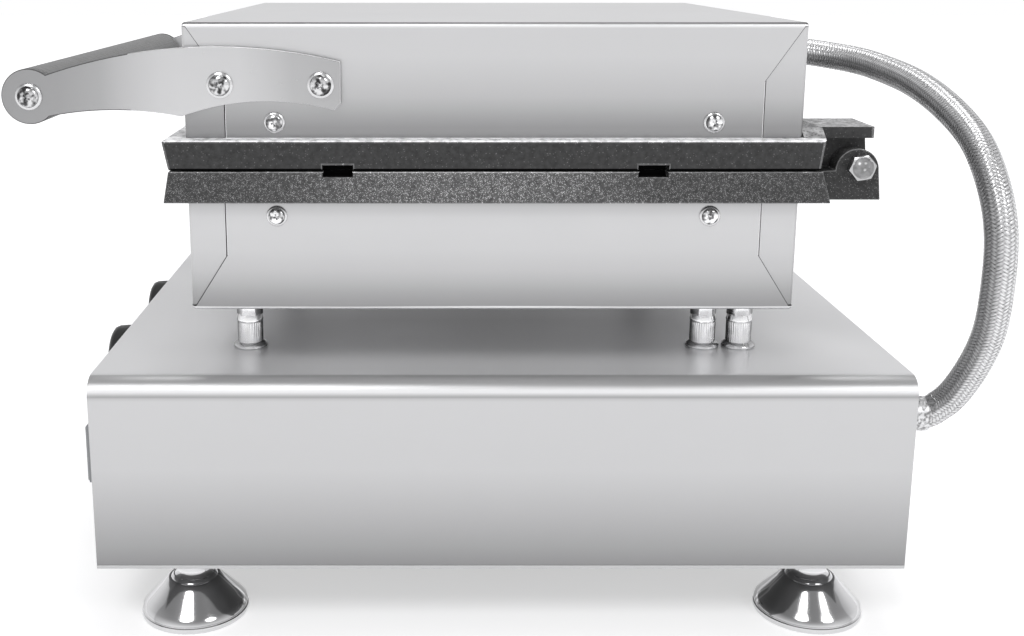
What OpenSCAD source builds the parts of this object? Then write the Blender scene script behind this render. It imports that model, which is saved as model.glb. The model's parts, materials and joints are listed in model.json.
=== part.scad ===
/* [Base] */
// Width of the base, side to side
base_w = 260; // [250:1:300]
// Length of the base, front to rear
base_l = 330; // [310:1:380]
// Height of the base without its feet
base_h = 81; // [75:1:110]
// Sheet thickness of the base cover and its two end panels
base_sheet = 1.2; // [0.8:0.1:2]
// Outer radius of the two long top bends
base_bend = 8; // [4:0.5:12]
// Thickness of the bottom plate
floor_t = 1.5; // [1:0.1:2.5]
// Depth of the folded lips of the end panels
panel_lip = 14; // [8:1:20]
// How far the end panels sit inside the ends of the cover
panel_recess = 0.6; // [0.2:0.1:2]
// Gap between an end panel's lips and the cover
panel_fit = 0.2; // [0.1:0.05:0.5]

/* [Feet] */
// Height of a foot
foot_h = 28; // [24:1:40]
// Diameter of the rim of a foot
foot_d = 45; // [38:1:56]
// Diameter of the neck of a foot
foot_neck_d = 13; // [11:0.5:16]
// Height of the upright rim
foot_rim_h = 2; // [1:0.5:4]
// Length of the neck above the bell
foot_neck_h = 5; // [3:0.5:8]
// Diameter of the bolt through a foot
foot_bolt_d = 8; // [6:1:8]
// Distance from a side of the base to the foot axes
foot_side_inset = 19; // [17:1:40]
// Distance from the front of the base to the front foot axes
foot_front_inset = 36; // [26:1:60]
// Distance from the rear of the base to the rear foot axes
foot_rear_inset = 33; // [26:1:60]

/* [Legs] */
// Height of the legs between base and lower housing
leg_h = 25.5; // [20:0.5:40]
// Diameter of a leg
leg_d = 10.8; // [10:0.2:14]
// Diameter of the flange of a leg
leg_flange_d = 14.2; // [13.5:0.1:15]
// Thickness of the flange of a leg
leg_flange_t = 2.5; // [1.5:0.5:4]
// Height of the round part of a leg above its flange
leg_round_h = 7; // [4:0.5:10]
// Diameter of a leg bolt
leg_bolt_d = 5; // [4:0.5:6]
// Distance from a side of the housing to the leg axes
leg_side_inset = 35; // [25:1:50]
// Distance from the front of the housing to the front legs
leg_front_inset = 18; // [15:1:40]
// Distance from the rear of the housing to the rear legs
leg_rear_inset = 28; // [27:1:45]
// Distance from the rear right leg to the wiring tube
tube_spacing = 15.5; // [15.2:0.1:18]
// Bore of the wiring tube
tube_bore_d = 7; // [5:0.5:8]

/* [Housings] */
// Width of both housings
housing_w = 238; // [230:1:250]
// Length of both housings
housing_l = 240; // [230:1:246]
// Height of each housing
housing_h = 44.5; // [42:0.5:60]
// Sheet thickness of the housings
housing_sheet = 1; // [0.8:0.1:1.5]
// How far the centre of the housings lies ahead of the centre of the base
housing_ahead = 4; // [0:1:6]
// Width of the corner flap that a side panel leaves bare
flap_w = 14.5; // [8:0.5:20]
// How far a corner flap runs on behind the side panel
flap_lap = 9; // [4:1:14]
// Height of the mitre of a side panel
mitre_h = 23; // [12:1:30]
// Distance between the two screws of a housing side
side_screw_span = 170; // [150:1:180]
// Distance from a plate's back to the housing screws
side_screw_drop = 6.2; // [5:0.2:9]
// Diameter of the housing screws
side_screw_d = 4; // [3:0.5:5]

/* [Baking plates] */
// Width of the plates at their backs
plate_w = 251; // [247:1:258]
// Length of the plates at their backs
plate_l = 257; // [250:1:262]
// How far the centre of the plates lies ahead of the centre of the base
plate_ahead = 3.5; // [1:0.5:6]
// Thickness of each plate
plate_t = 12; // [10:0.5:15]
// Draft angle of the plate sides
plate_draft = 9; // [3:1:10]
// Gap between the closed plates
plate_gap = 0.4; // [0.2:0.1:1]
// Diameter of the round baking face
baking_d = 206; // [160:2:212]
// Depth of the baking face below the rim, in each plate
baking_depth = 0.8; // [0.4:0.1:1.5]
// Distance between the grooves of the grid
groove_pitch = 12; // [10:1:20]
// Width of a groove
groove_w = 2; // [1.2:0.1:3]
// Depth of a groove below the baking face
groove_depth = 1; // [0.5:0.1:1.5]
// Width of the overflow gutter round the baking face
gutter_w = 4; // [2:0.5:6]
// Land between the baking face and the gutter
gutter_land = 2; // [1:0.5:3]
// Distance between the two pry notches of a plate side
notch_span = 122; // [80:1:160]
// Width of a pry notch
notch_w = 11; // [6:1:16]
// Height of a pry notch in each plate
notch_h = 2; // [1:0.5:3]

/* [Hinge] */
// Distance from the rear of the plates to the hinge axis
hinge_reach = 14; // [13:0.5:18]
// Height of the hinge axis above the lower plate
hinge_rise = 1.2; // [0.6:0.1:2]
// Distance from the side of the plates to the outer ears
hinge_side_inset = 7.5; // [6:0.5:12]
// Diameter of the hinge bolts
hinge_bolt_d = 6; // [5:0.5:8]
// Radial running clearance of the knuckles on the bolts
hinge_clearance = 0.05; // [0.03:0.01:0.08]
// Thickness of a hinge ear
ear_t = 9.5; // [6:0.5:11]
// Radius of the top of an ear
ear_r = 8.5; // [8:0.1:9.5]
// How far the foot of an ear reaches behind the hinge axis
ear_toe = 11.1; // [10:0.1:12]
// Width of a knuckle
knuckle_w = 23.6; // [16:0.2:28]
// Side clearance of a knuckle
knuckle_gap = 0.3; // [0.2:0.05:0.5]
// Radius of the round end of a knuckle
knuckle_r = 6.5; // [6:0.1:7]
// Thickness of the stop flange
flange_t = 4.4; // [3:0.2:5]
// Height of the stop flange above the upper plate
flange_rise = 3.6; // [2:0.1:4]
// How far the stop flange reaches behind the hinge axis
flange_reach = 7; // [5:0.1:7]
// How far the stop flange reaches over the outer ear
flange_over = 3.5; // [2:0.5:6]

/* [Handle] */
// Diameter of the grip
grip_d = 21.2; // [18:0.2:26]
// Distance from the front of the housing to the grip axis
grip_ahead = 58; // [52:1:80]
// Height of the grip axis above the upper plate
grip_rise = 16.6; // [16:0.2:24]
// Thickness of a handle arm
arm_t = 2.5; // [2:0.5:4]
// Thickness of the spacers behind the arms
arm_spacer_t = 1.5; // [1:0.5:4]
// Distance from the front of the housing to the rear end of an arm
arm_run = 61; // [59:1:80]
// Distance from the front of the housing to the first arm screw
arm_screw_inset = 15; // [12:0.5:18]
// Distance between the two screws of an arm
arm_screw_pitch = 38.5; // [34:0.5:39]
// Height of the arm screws above the grip axis
arm_screw_rise = 4.4; // [3:0.2:6]
// Diameter of the arm and grip screws
arm_screw_d = 5; // [4:0.5:6]

/* [Controls] */
// Diameter of the knobs
knob_d = 36; // [30:1:42]
// How far the knobs stand out in front of the base
knob_reach = 19; // [16:0.5:24]
// Distance from the top of the base to the knob axes
knob_drop = 29; // [26:1:36]
// Diameter of the knob shafts
shaft_d = 6; // [5:0.5:7]
// Timer knob, distance to the right of the middle
timer_x = 12; // [0:1:20]
// Thermostat knob, distance to the left of the middle
thermostat_x = 76; // [64:1:84]
// Power switch, distance from the right side of the base
switch_inset = 24; // [20:1:32]
// Distance from the top of the base to the middle of the switch
switch_drop = 37; // [32:1:42]
// Width of the switch cover
switch_cover_w = 20; // [18:0.5:22]
// Height of the switch cover
switch_cover_h = 25; // [23:0.5:28]
// How far the switch cover stands out of its rim
switch_cover_d = 5.6; // [5.2:0.1:8]
// Timer pilot lamp, distance to the right of the middle
power_lamp_x = 62; // [52:1:70]
// Heating pilot lamp, distance to the left of the middle
heating_lamp_x = 32; // [26:1:36]
// Diameter of a pilot lamp lens
lamp_d = 9; // [6:0.5:12]

/* [Conduit] */
// Outer diameter of the braided conduit
conduit_d = 13; // [10:0.5:15]
// Diameter of the collar of a conduit fitting
fitting_d = 14.6; // [12:0.2:18]
// Distance that a conduit fitting stands out of its wall
fitting_l = 16; // [14:1:24]
// Lid end of the conduit, distance to the left of the middle
lid_exit_x = 28; // [24:1:32]
// Lid end of the conduit, height above the upper plate
lid_exit_rise = 25; // [20:1:28]
// Base end of the conduit, distance from the right side of the base
base_exit_inset = 30; // [25:1:40]
// Base end of the conduit, distance below the top of the base
base_exit_drop = 25; // [22:1:34]
// Number of sides of the conduit
conduit_sides = 12; // [8:1:12]

/* [Mains inlet] */
// Bore of the cable gland
gland_bore_d = 9; // [7:0.5:11]
// Cable gland, distance to the left of the middle
gland_x = 60; // [40:1:80]
// Height of the cable gland and the earth stud above the bottom plate
gland_rise = 32; // [24:1:44]
// Earth stud, distance to the left of the middle
earth_x = 100; // [90:1:110]
// Earth stud diameter outside the panel
earth_stud_d = 6; // [5:0.5:8]
// Free length of the earth stud
earth_stud_l = 7; // [5:1:12]

/* [Hidden] */
$fn = 64;

steel = [0.78, 0.78, 0.79];
chrome = [0.86, 0.87, 0.88];
cast_metal = [0.21, 0.21, 0.22];
grip_grey = [0.42, 0.42, 0.42];
black = [0.07, 0.07, 0.07];
white = [0.9, 0.9, 0.88];
clear = [0.75, 0.77, 0.78];
green = [0.2, 0.6, 0.25];
amber = [0.8, 0.35, 0.1];

// heights
floor_top = foot_h + floor_t;
base_top = foot_h + base_h;
lower_housing_z = base_top + leg_h;
lower_plate_z = lower_housing_z + housing_h;
lower_face_z = lower_plate_z + plate_t;
upper_face_z = lower_face_z + plate_gap;
upper_plate_z = upper_face_z + plate_t;
lid_top = upper_plate_z + housing_h;
hinge_z = lower_face_z + hinge_rise;
grip_z = upper_plate_z + grip_rise;

// lengths, measured from the middle of the base
housing_y = -housing_ahead;
housing_front = housing_y - housing_l / 2;
housing_rear = housing_y + housing_l / 2;
plate_y = -plate_ahead;
plate_rear = plate_y + plate_l / 2;
hinge_y = plate_rear + hinge_reach;
grip_y = housing_front - grip_ahead;
panel_front = -base_l / 2 + panel_recess;
panel_rear = base_l / 2 - panel_recess;
draft_inset = plate_t * tan(plate_draft);

// places of the repeated parts
foot_x = base_w / 2 - foot_side_inset;
foot_front_y = -base_l / 2 + foot_front_inset;
foot_rear_y = base_l / 2 - foot_rear_inset;
foot_places = [[-foot_x, foot_front_y], [foot_x, foot_front_y],
               [-foot_x, foot_rear_y], [foot_x, foot_rear_y]];
leg_x = housing_w / 2 - leg_side_inset;
leg_front_y = housing_front + leg_front_inset;
leg_rear_y = housing_rear - leg_rear_inset;
leg_places = [[-leg_x, leg_front_y], [leg_x, leg_front_y], [-leg_x, leg_rear_y], [leg_x, leg_rear_y]];
tube_place = [leg_x, leg_rear_y + tube_spacing];
clamp_bolt_reach = 64;
clamp_bolt_places = [for (x = [-1, 1], y = [-1, 1]) clamp_bolt_reach * [x, y]];

// fits
bolt_fit = 0.05;
hole_fit = 0.2;

// foot bell
bell_curve = 0.9;
bell_steps = 8;
bell_seat = 13;
bell_seat_r = 9;
foot_collar_d = 16;
foot_collar_h = 2;
hex_head_h = 4;

// screw heads
side_screw_l = 9;
head_ratio = 2.05;
head_h_ratio = 0.62;
recess_ratio = 1.14;
recess_w = 0.9;
earth_tail_d = earth_stud_d - 1;

// hinge, side to side
ear_outer_x = plate_w / 2 - hinge_side_inset;
knuckle_outer_x = ear_outer_x - ear_t - knuckle_gap;
knuckle_inner_x = knuckle_outer_x - knuckle_w;
inner_ear_x = knuckle_inner_x - knuckle_gap - ear_t;
ear_shift = [-1, -1.5];
flange_base = upper_plate_z + flange_rise - flange_t;
hinge_hex_d = hinge_bolt_d * 1.92;
hinge_hex_h = 4;

// heating
clamp_bolt_d = 5;
heater_r = 78;
heater_d = 8;
heater_pin_l = 16;
clamp_t = 1.5;
clamp_w = housing_w - 38;
clamp_l = housing_l - 48;
clamp_window_l = 30;
clamp_thread_l = 5;
clamp_head_h = 3.5;
insulation_t = 30;
insulation_w = housing_w - 34;
insulation_l = housing_l - 44;
insulation_pocket_d = 12;
insulation_pocket_h = 6;
terminal_gap = 16;
terminal_room = 20;

// arm, measured from the grip axis
arm_x = housing_w / 2 + arm_spacer_t;
arm_end = grip_ahead + arm_run;
arm_end_top = 13.2;
arm_end_bottom = -5.3;
arm_corner = 2.5;
arm_cusp = -7.6;
arm_steps = 20;
grip_screw_l = 22;
arm_screw_l = 14;

// controls
knob_z = base_top - knob_drop;
switch_x = base_w / 2 - switch_inset;
switch_z = base_top - switch_drop;
lamp_z = knob_z;
knob_lift = 1;
knob_flutes = 12;
bushing_d = 10;
bushing_l = 6;
shaft_tail = 6;
timer_case_w = 46;
timer_case_h = 42;
timer_case_depth = 34;
thermostat_case_w = 38;
thermostat_case_h = 34;
thermostat_case_depth = 28;
switch_case_depth = 20;
lamp_barrel_l = 18;

// terminal block, its distance measured from the rear panel
terminal_ways = 5;
terminal_pitch = 11;
terminal_l = 22;
terminal_h = 18;
terminal_inset = 78;

// conduit ends and route
lid_exit_z = upper_plate_z + lid_exit_rise;
base_exit_z = base_top - base_exit_drop;
lid_exit = [-lid_exit_x, housing_rear + fitting_l, lid_exit_z];
base_exit_x = base_w / 2 - base_exit_inset;
base_exit = [base_exit_x, panel_rear + fitting_l, base_exit_z];
conduit_route = [
    [101, 186, 86], [103, 190, 91], [106, 194, 99], [110, 197, 109], [114, 200, 122], [117, 200, 136],
    [118, 200, 150], [117, 200, 164], [113, 199, 177], [105, 198, 188], [94, 197, 198], [78, 195, 206],
    [59, 192, 213], [38, 189, 218], [17, 185, 221], [-2, 178, 224], [-17, 165, 226], [-25, 149, 228]];
conduit_rings = 3;

// middle of everything, front to rear
rear_reach = max([for (p = conduit_route) p[1]]) + conduit_d / 2;
front_reach = grip_y - grip_d / 2;
origin_y = (rear_reach + front_reach) / 2;

// ---------- shared shapes ----------

module place() {
    translate([0, -origin_y, 0]) children();
}

// draws a part and its mirror image on the other side
module both_sides() {
    for (side = [0, 1]) mirror([side, 0, 0]) children();
}

// turns an outline in Y and Z into a slab from x0 to x1
module slab_x(x0, x1) {
    translate([x0, 0, 0]) rotate([90, 0, 90]) linear_extrude(x1 - x0) children();
}

module rod_x(x0, x1, d) {
    translate([x0, 0, 0]) rotate([0, 90, 0]) cylinder(d = d, h = x1 - x0);
}

// points its children's Z axis to the front of the machine
module facing_front(x, y, z) {
    translate([x, y, z]) rotate([90, 0, 0]) children();
}

module facing_rear(x, y, z) {
    translate([x, y, z]) rotate([-90, 0, 0]) children();
}

// flat foot, two upright sides and round upper corners
module arch_outline(w, h, r) {
    translate([-w / 2, 0]) square([w, h - r]);
    translate([-w / 2 + r, 0]) square([w - 2 * r, h]);
    for (side = [-1, 1]) translate([side * (w / 2 - r), h - r]) circle(r);
}

// points of an arc from p to q whose middle lies rise to the left of the chord
function arc_points(p, q, rise, steps) =
    let (chord = norm(q - p),
         along = (q - p) / chord,
         left = [-along[1], along[0]],
         radius = (chord * chord / 4 + rise * rise) / (2 * rise),
         half = asin(chord / 2 / radius),
         centre = (p + q) / 2 - left * (radius - rise))
    [for (i = [0 : steps])
        let (a = half * (2 * i / steps - 1))
        centre + radius * (along * sin(a) + left * cos(a))];

// domed head with a cross recess, its shank below z = 0
module pan_screw(d, shank) {
    head_r = d * head_ratio / 2;
    head_h = d * head_h_ratio;
    recess_l = d * recess_ratio;
    difference() {
        rotate_extrude()
            polygon([[0, -shank], [d / 2, -shank], [d / 2, 0], [head_r, 0], [head_r, head_h * 0.35],
                     [head_r * 0.85, head_h * 0.75], [head_r * 0.5, head_h * 0.95], [0, head_h]]);
        for (turn = [45, 135])
            rotate(turn) translate([-recess_l / 2, -recess_w / 2, head_h * 0.5])
                cube([recess_l, recess_w, head_h]);
    }
}

module hex(d, h) {
    cylinder(d = d, h = h, $fn = 6);
}

// cast block, wide at z = 0 and narrower at its top
module drafted_block(w, l, t) {
    intersection() {
        rotate([90, 0, 0]) translate([0, 0, -l / 2]) linear_extrude(l)
            polygon([[-w / 2, 0], [w / 2, 0], [w / 2 - draft_inset, t], [-w / 2 + draft_inset, t]]);
        slab_x(-w / 2, w / 2)
            polygon([[-l / 2, 0], [l / 2, 0], [l / 2 - draft_inset, t], [-l / 2 + draft_inset, t]]);
    }
}

// ---------- base ----------

module base_cover() color(steel) place() {
    cover_h = base_h - floor_t;
    difference() {
        translate([0, base_l / 2, floor_top]) rotate([90, 0, 0]) linear_extrude(base_l)
            difference() {
                arch_outline(base_w, cover_h, base_bend);
                translate([0, -1])
                    arch_outline(base_w - 2 * base_sheet, cover_h - base_sheet + 1, base_bend - base_sheet);
            }
        for (p = leg_places)
            translate([p[0], p[1], base_top - 10]) cylinder(d = leg_bolt_d + 2 * hole_fit, h = 20);
        translate([tube_place[0], tube_place[1], base_top - 10]) cylinder(d = tube_bore_d, h = 20);
    }
}

// end panel with lips, its face at z = 0 and the lips behind it
module end_panel() {
    panel_w = base_w - 2 * base_sheet - 2 * panel_fit;
    panel_h = base_h - floor_t - base_sheet - panel_fit;
    panel_r = base_bend - base_sheet - panel_fit;
    difference() {
        translate([0, 0, -panel_lip]) linear_extrude(panel_lip) arch_outline(panel_w, panel_h, panel_r);
        translate([0, base_sheet, -panel_lip - base_sheet]) linear_extrude(panel_lip)
            arch_outline(panel_w - 2 * base_sheet, panel_h - 2 * base_sheet, max(panel_r - base_sheet, 0.5));
    }
}

module front_panel() color(steel) place() {
    switch_hole = [switch_cover_w - 2, switch_cover_h - 3];
    difference() {
        facing_front(0, panel_front, floor_top) end_panel();
        for (x = [timer_x, -thermostat_x])
            facing_front(x, panel_front + 5, knob_z) cylinder(d = bushing_d + 2 * hole_fit, h = 10);
        for (x = [power_lamp_x, -heating_lamp_x])
            facing_front(x, panel_front + 5, lamp_z) cylinder(d = lamp_d + 2 * hole_fit, h = 10);
        translate([switch_x - switch_hole[0] / 2, panel_front - 5, switch_z - switch_hole[1] / 2])
            cube([switch_hole[0], 10, switch_hole[1]]);
    }
}

module rear_panel() color(steel) place() {
    slot_l = 34;
    difference() {
        facing_rear(0, panel_rear, floor_top) mirror([0, 1, 0]) end_panel();
        facing_rear(base_exit_x, panel_rear - 5, base_exit_z)
            cylinder(d = conduit_d - 1 + 2 * hole_fit, h = 10);
        facing_rear(-gland_x, panel_rear - 5, floor_top + gland_rise)
            cylinder(d = gland_bore_d + 7 + 2 * hole_fit, h = 10);
        facing_rear(-earth_x, panel_rear - 5, floor_top + gland_rise)
            cylinder(d = earth_tail_d + 2 * hole_fit, h = 10);
        for (i = [0 : 4])
            translate([8, panel_rear - 5, floor_top + 16 + i * 9]) cube([slot_l, 10, 3]);
    }
}

module bottom_plate() color(steel) place() {
    vent_l = 60;
    vent_w = 5;
    difference() {
        translate([-base_w / 2, -base_l / 2, foot_h]) cube([base_w, base_l, floor_t]);
        for (p = foot_places)
            translate([p[0], p[1], foot_h - 5]) cylinder(d = foot_bolt_d + 2 * hole_fit, h = 10);
        for (x = [-vent_l * 1.15, vent_l * 0.15], i = [-3 : 3])
            translate([x, i * vent_w * 3, foot_h - 5]) cube([vent_l, vent_w, 10]);
    }
}

// hollow bell with a neck and a collar, bored for its bolt
module bell_foot() {
    bolt_r = foot_bolt_d / 2 + hole_fit;
    bell_top = foot_h - foot_neck_h;
    rim_r = foot_d / 2;
    neck_r = foot_neck_d / 2;
    bell = [for (i = [0 : bell_steps])
        let (t = i / bell_steps)
        [neck_r + (rim_r - neck_r) * pow(1 - t, bell_curve), foot_rim_h + (bell_top - foot_rim_h) * t]];
    rotate_extrude() polygon(concat(
        [[rim_r - 1.5, 0], [rim_r, 0]],
        bell,
        [[neck_r, foot_h - foot_collar_h], [foot_collar_d / 2, foot_h - foot_collar_h],
         [foot_collar_d / 2, foot_h], [bolt_r, foot_h], [bolt_r, bell_seat], [bell_seat_r, bell_seat]]));
}

module foot(i) color(chrome) place() {
    translate([foot_places[i][0], foot_places[i][1], 0]) bell_foot();
}

module foot_front_left() foot(0);
module foot_front_right() foot(1);
module foot_rear_left() foot(2);
module foot_rear_right() foot(3);

module foot_bolts() color(chrome) place() {
    nut_h = 6;
    for (p = foot_places) translate([p[0], p[1], 0]) {
        translate([0, 0, bell_seat - hex_head_h]) hex(foot_bolt_d * 1.7, hex_head_h);
        translate([0, 0, bell_seat]) cylinder(d = foot_bolt_d, h = floor_top + nut_h + 1 - bell_seat);
        translate([0, 0, floor_top]) hex(foot_bolt_d * 1.8, nut_h);
    }
}

// ---------- legs ----------

// flanged standoff with a hexagonal upper part
module standoff(bore_d) {
    difference() {
        union() {
            cylinder(d1 = leg_flange_d, d2 = leg_flange_d - 1.6, h = leg_flange_t);
            cylinder(d = leg_d, h = leg_flange_t + leg_round_h);
            hex(leg_d * 1.05, leg_h);
        }
        translate([0, 0, -1]) cylinder(d = bore_d, h = leg_h + 2);
    }
}

module support_legs() color(chrome) place() {
    for (p = leg_places) translate([p[0], p[1], base_top]) standoff(leg_bolt_d + 2 * bolt_fit);
}

module leg_bolts() color(chrome) place() {
    nut_h = 4;
    under_cover = base_top - base_sheet - nut_h;
    housing_floor = lower_housing_z + housing_sheet;
    for (p = leg_places) {
        translate([p[0], p[1], housing_floor])
            pan_screw(leg_bolt_d, housing_floor - under_cover + 1);
        translate([p[0], p[1], under_cover]) hex(leg_bolt_d * 1.8, nut_h);
    }
}

module wiring_tube() color(chrome) place() {
    translate([tube_place[0], tube_place[1], base_top]) standoff(tube_bore_d);
}

// ---------- housings ----------

// folded tray, closed at z = 0 and open at z = housing_h, centred on its own middle
module housing_tray() {
    s = housing_sheet;
    half_l = housing_l / 2;
    translate([-housing_w / 2, -half_l, 0]) cube([housing_w, housing_l, s]);
    both_sides() {
        slab_x(housing_w / 2 - s, housing_w / 2)
            polygon([[-half_l, 0], [half_l, 0], [half_l - flap_w, mitre_h], [half_l - flap_w, housing_h],
                     [flap_w - half_l, housing_h], [flap_w - half_l, mitre_h]]);
        for (end = [0, 1]) mirror([0, end, 0])
            translate([housing_w / 2 - 2 * s, -half_l, 0]) cube([s, flap_w + flap_lap, housing_h]);
    }
    for (end = [0, 1]) mirror([0, end, 0])
        translate([-housing_w / 2 + s, -half_l, 0]) cube([housing_w - 2 * s, s, housing_h]);
}

// holes for the screws that hold a housing to its plate, z measured from the closed side
module side_screw_holes() {
    for (y = [-side_screw_span / 2, side_screw_span / 2])
        translate([0, y, housing_h - side_screw_drop])
            rod_x(-housing_w, housing_w, side_screw_d + 2 * bolt_fit);
}

module lower_housing() color(steel) place() {
    translate([0, 0, lower_housing_z]) difference() {
        translate([0, housing_y, 0]) housing_tray();
        translate([0, housing_y, 0]) side_screw_holes();
        for (p = leg_places)
            translate([p[0], p[1], -5]) cylinder(d = leg_bolt_d + 2 * hole_fit, h = 10);
        translate([tube_place[0], tube_place[1], -5]) cylinder(d = tube_bore_d, h = 10);
    }
}

// the four screws of one housing, z measured from the plate's back
module side_screws() {
    both_sides() for (y = [-side_screw_span / 2, side_screw_span / 2])
        translate([housing_w / 2, housing_y + y, side_screw_drop]) rotate([0, 90, 0])
            pan_screw(side_screw_d, side_screw_l);
}

module lower_housing_screws() color(chrome) place() {
    translate([0, 0, lower_plate_z]) mirror([0, 0, 1]) side_screws();
}

// ---------- baking plates ----------

// the round waffle face, cut downwards from z = 0
module baking_cut() {
    r = baking_d / 2;
    floor_z = -baking_depth;
    rows = floor((r - groove_w) / groove_pitch);
    translate([0, 0, floor_z]) cylinder(d = baking_d, h = 1 - floor_z);
    for (turn = [45, -45], i = [-rows : rows])
        let (y = i * groove_pitch, half = sqrt(pow(r - 1, 2) - y * y))
        rotate(turn) translate([-half, y - groove_w / 2, floor_z - groove_depth])
            cube([2 * half, groove_w, groove_depth + 0.1]);
    difference() {
        translate([0, 0, -baking_depth - groove_depth])
            cylinder(r = r + gutter_land + gutter_w, h = baking_depth + groove_depth + 1);
        translate([0, 0, -5]) cylinder(r = r + gutter_land, h = 10);
    }
}

// one plate with its back at z = 0 and its baking face up, screw bosses and blind holes behind
module baking_plate() {
    boss_w = 12;
    boss_h = side_screw_drop + 6;
    boss_x = housing_w / 2 - housing_sheet;
    notch_depth = 5;
    difference() {
        union() {
            translate([0, plate_y, 0]) drafted_block(plate_w, plate_l, plate_t);
            both_sides() for (y = [-side_screw_span / 2, side_screw_span / 2])
                translate([boss_x - boss_w, housing_y + y - boss_w / 2, -boss_h])
                    cube([boss_w, boss_w, boss_h + 1]);
        }
        translate([0, plate_y, plate_t]) baking_cut();
        both_sides() for (y = [-side_screw_span / 2, side_screw_span / 2])
            translate([0, housing_y + y, -side_screw_drop])
                rod_x(housing_w / 2 - side_screw_l - 1, housing_w, side_screw_d + 2 * bolt_fit);
        both_sides() for (y = [-notch_span / 2, notch_span / 2])
            translate([plate_w / 2 - draft_inset - notch_depth, plate_y + y - notch_w / 2, plate_t - notch_h])
                cube([notch_depth * 2, notch_w, notch_h + 1]);
        for (p = clamp_bolt_places)
            translate([p[0], housing_y + p[1], -1])
                cylinder(d = clamp_bolt_d + 2 * bolt_fit, h = clamp_thread_l + 2);
    }
}

// one ear, drawn about the hinge axis
module ear_outline() {
    ear_bottom = lower_plate_z - hinge_z;
    plate_edge = -hinge_reach - 3;
    translate(ear_shift) circle(ear_r);
    polygon([[ear_shift[0] + ear_r, ear_shift[1]], [ear_toe, ear_bottom], [plate_edge, ear_bottom],
             [plate_edge, -hinge_rise - 0.7], [ear_shift[0] - ear_r, ear_shift[1]]]);
}

module hinge_ears() {
    both_sides() translate([0, hinge_y, hinge_z]) difference() {
        union() {
            slab_x(ear_outer_x - ear_t, ear_outer_x) ear_outline();
            slab_x(inner_ear_x, inner_ear_x + ear_t) ear_outline();
        }
        rod_x(0, plate_w, hinge_bolt_d + 2 * bolt_fit);
    }
}

// round knuckle under a flat flange that meets the outer ear when the lid is fully open
module hinge_knuckles() {
    flange_z = flange_base - hinge_z;
    face_z = upper_face_z - hinge_z;
    plate_edge = -hinge_reach - 3;
    flange_front = housing_rear + 0.5 - hinge_y;
    flange_inner_x = knuckle_inner_x - 0.6;
    flange_outer_x = ear_outer_x - ear_t + flange_over;
    rib = 6;
    both_sides() translate([0, hinge_y, hinge_z]) {
        difference() {
            slab_x(knuckle_inner_x, knuckle_outer_x) {
                circle(knuckle_r);
                polygon([[plate_edge, face_z + 0.3], [0, face_z + 0.3], [knuckle_r - 1.5, knuckle_r * 0.7],
                         [flange_reach - 2.6, flange_z + 0.5], [plate_edge, flange_z + 0.5]]);
            }
            rod_x(0, plate_w, hinge_bolt_d + 2 * hinge_clearance);
        }
        translate([flange_inner_x, flange_front, flange_z])
            cube([flange_outer_x - flange_inner_x, flange_reach - flange_front, flange_t]);
        translate([flange_outer_x, -hinge_reach, flange_z + flange_t - flange_rise])
            rotate([90, 0, 0]) linear_extrude(-hinge_reach - flange_front)
                polygon([[-1, -0.5], [rib, -0.5], [rib, 0], [0, flange_rise], [-1, flange_rise]]);
    }
}

module lower_plate() color(cast_metal) place() {
    translate([0, 0, lower_plate_z]) baking_plate();
    hinge_ears();
}

module upper_plate() color(cast_metal) place() {
    translate([0, 0, upper_plate_z]) mirror([0, 0, 1]) baking_plate();
    hinge_knuckles();
}

module hinge_bolts() color(chrome) place() {
    both_sides() translate([0, hinge_y, hinge_z]) {
        rod_x(inner_ear_x - hinge_hex_h - 1, ear_outer_x, hinge_bolt_d);
        translate([ear_outer_x, 0, 0]) rotate([0, 90, 0]) rotate(10) hex(hinge_hex_d, hinge_hex_h);
    }
}

module hinge_nuts() color(chrome) place() {
    both_sides() translate([inner_ear_x - hinge_hex_h, hinge_y, hinge_z]) rotate([0, 90, 0])
        difference() {
            hex(hinge_hex_d, hinge_hex_h);
            translate([0, 0, -1]) cylinder(d = hinge_bolt_d + 2 * bolt_fit, h = hinge_hex_h + 2);
        }
}

// ---------- heating, drawn above a plate's back at z = 0 ----------

// one open ring of tube with two upright terminals at the rear
module heater() {
    half_gap = asin(terminal_gap / 2 / heater_r);
    pin_turn = half_gap + asin(heater_d / 2 / heater_r);
    translate([0, housing_y, heater_d / 2]) {
        rotate(90 + half_gap) rotate_extrude(angle = 360 - 2 * half_gap)
            translate([heater_r, 0]) circle(d = heater_d);
        for (side = [-1, 1])
            rotate(90 + side * pin_turn) translate([heater_r, 0, 0])
                cylinder(d = heater_d * 0.6, h = heater_pin_l);
    }
}

module heater_clamp() {
    translate([0, housing_y, heater_d]) difference() {
        translate([-clamp_w / 2, -clamp_l / 2, 0]) cube([clamp_w, clamp_l, clamp_t]);
        translate([-terminal_gap, heater_r - clamp_window_l / 2, -1])
            cube([2 * terminal_gap, clamp_window_l, clamp_t + 2]);
        for (p = clamp_bolt_places)
            translate([p[0], p[1], -1]) cylinder(d = clamp_bolt_d + 2 * bolt_fit, h = clamp_t + 2);
    }
}

module clamp_bolts() {
    for (p = clamp_bolt_places)
        translate([p[0], housing_y + p[1], heater_d + clamp_t]) {
            shank_l = heater_d + clamp_t + clamp_thread_l;
            hex(clamp_bolt_d * 1.8, clamp_head_h);
            translate([0, 0, -shank_l]) cylinder(d = clamp_bolt_d, h = shank_l);
        }
}

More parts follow.
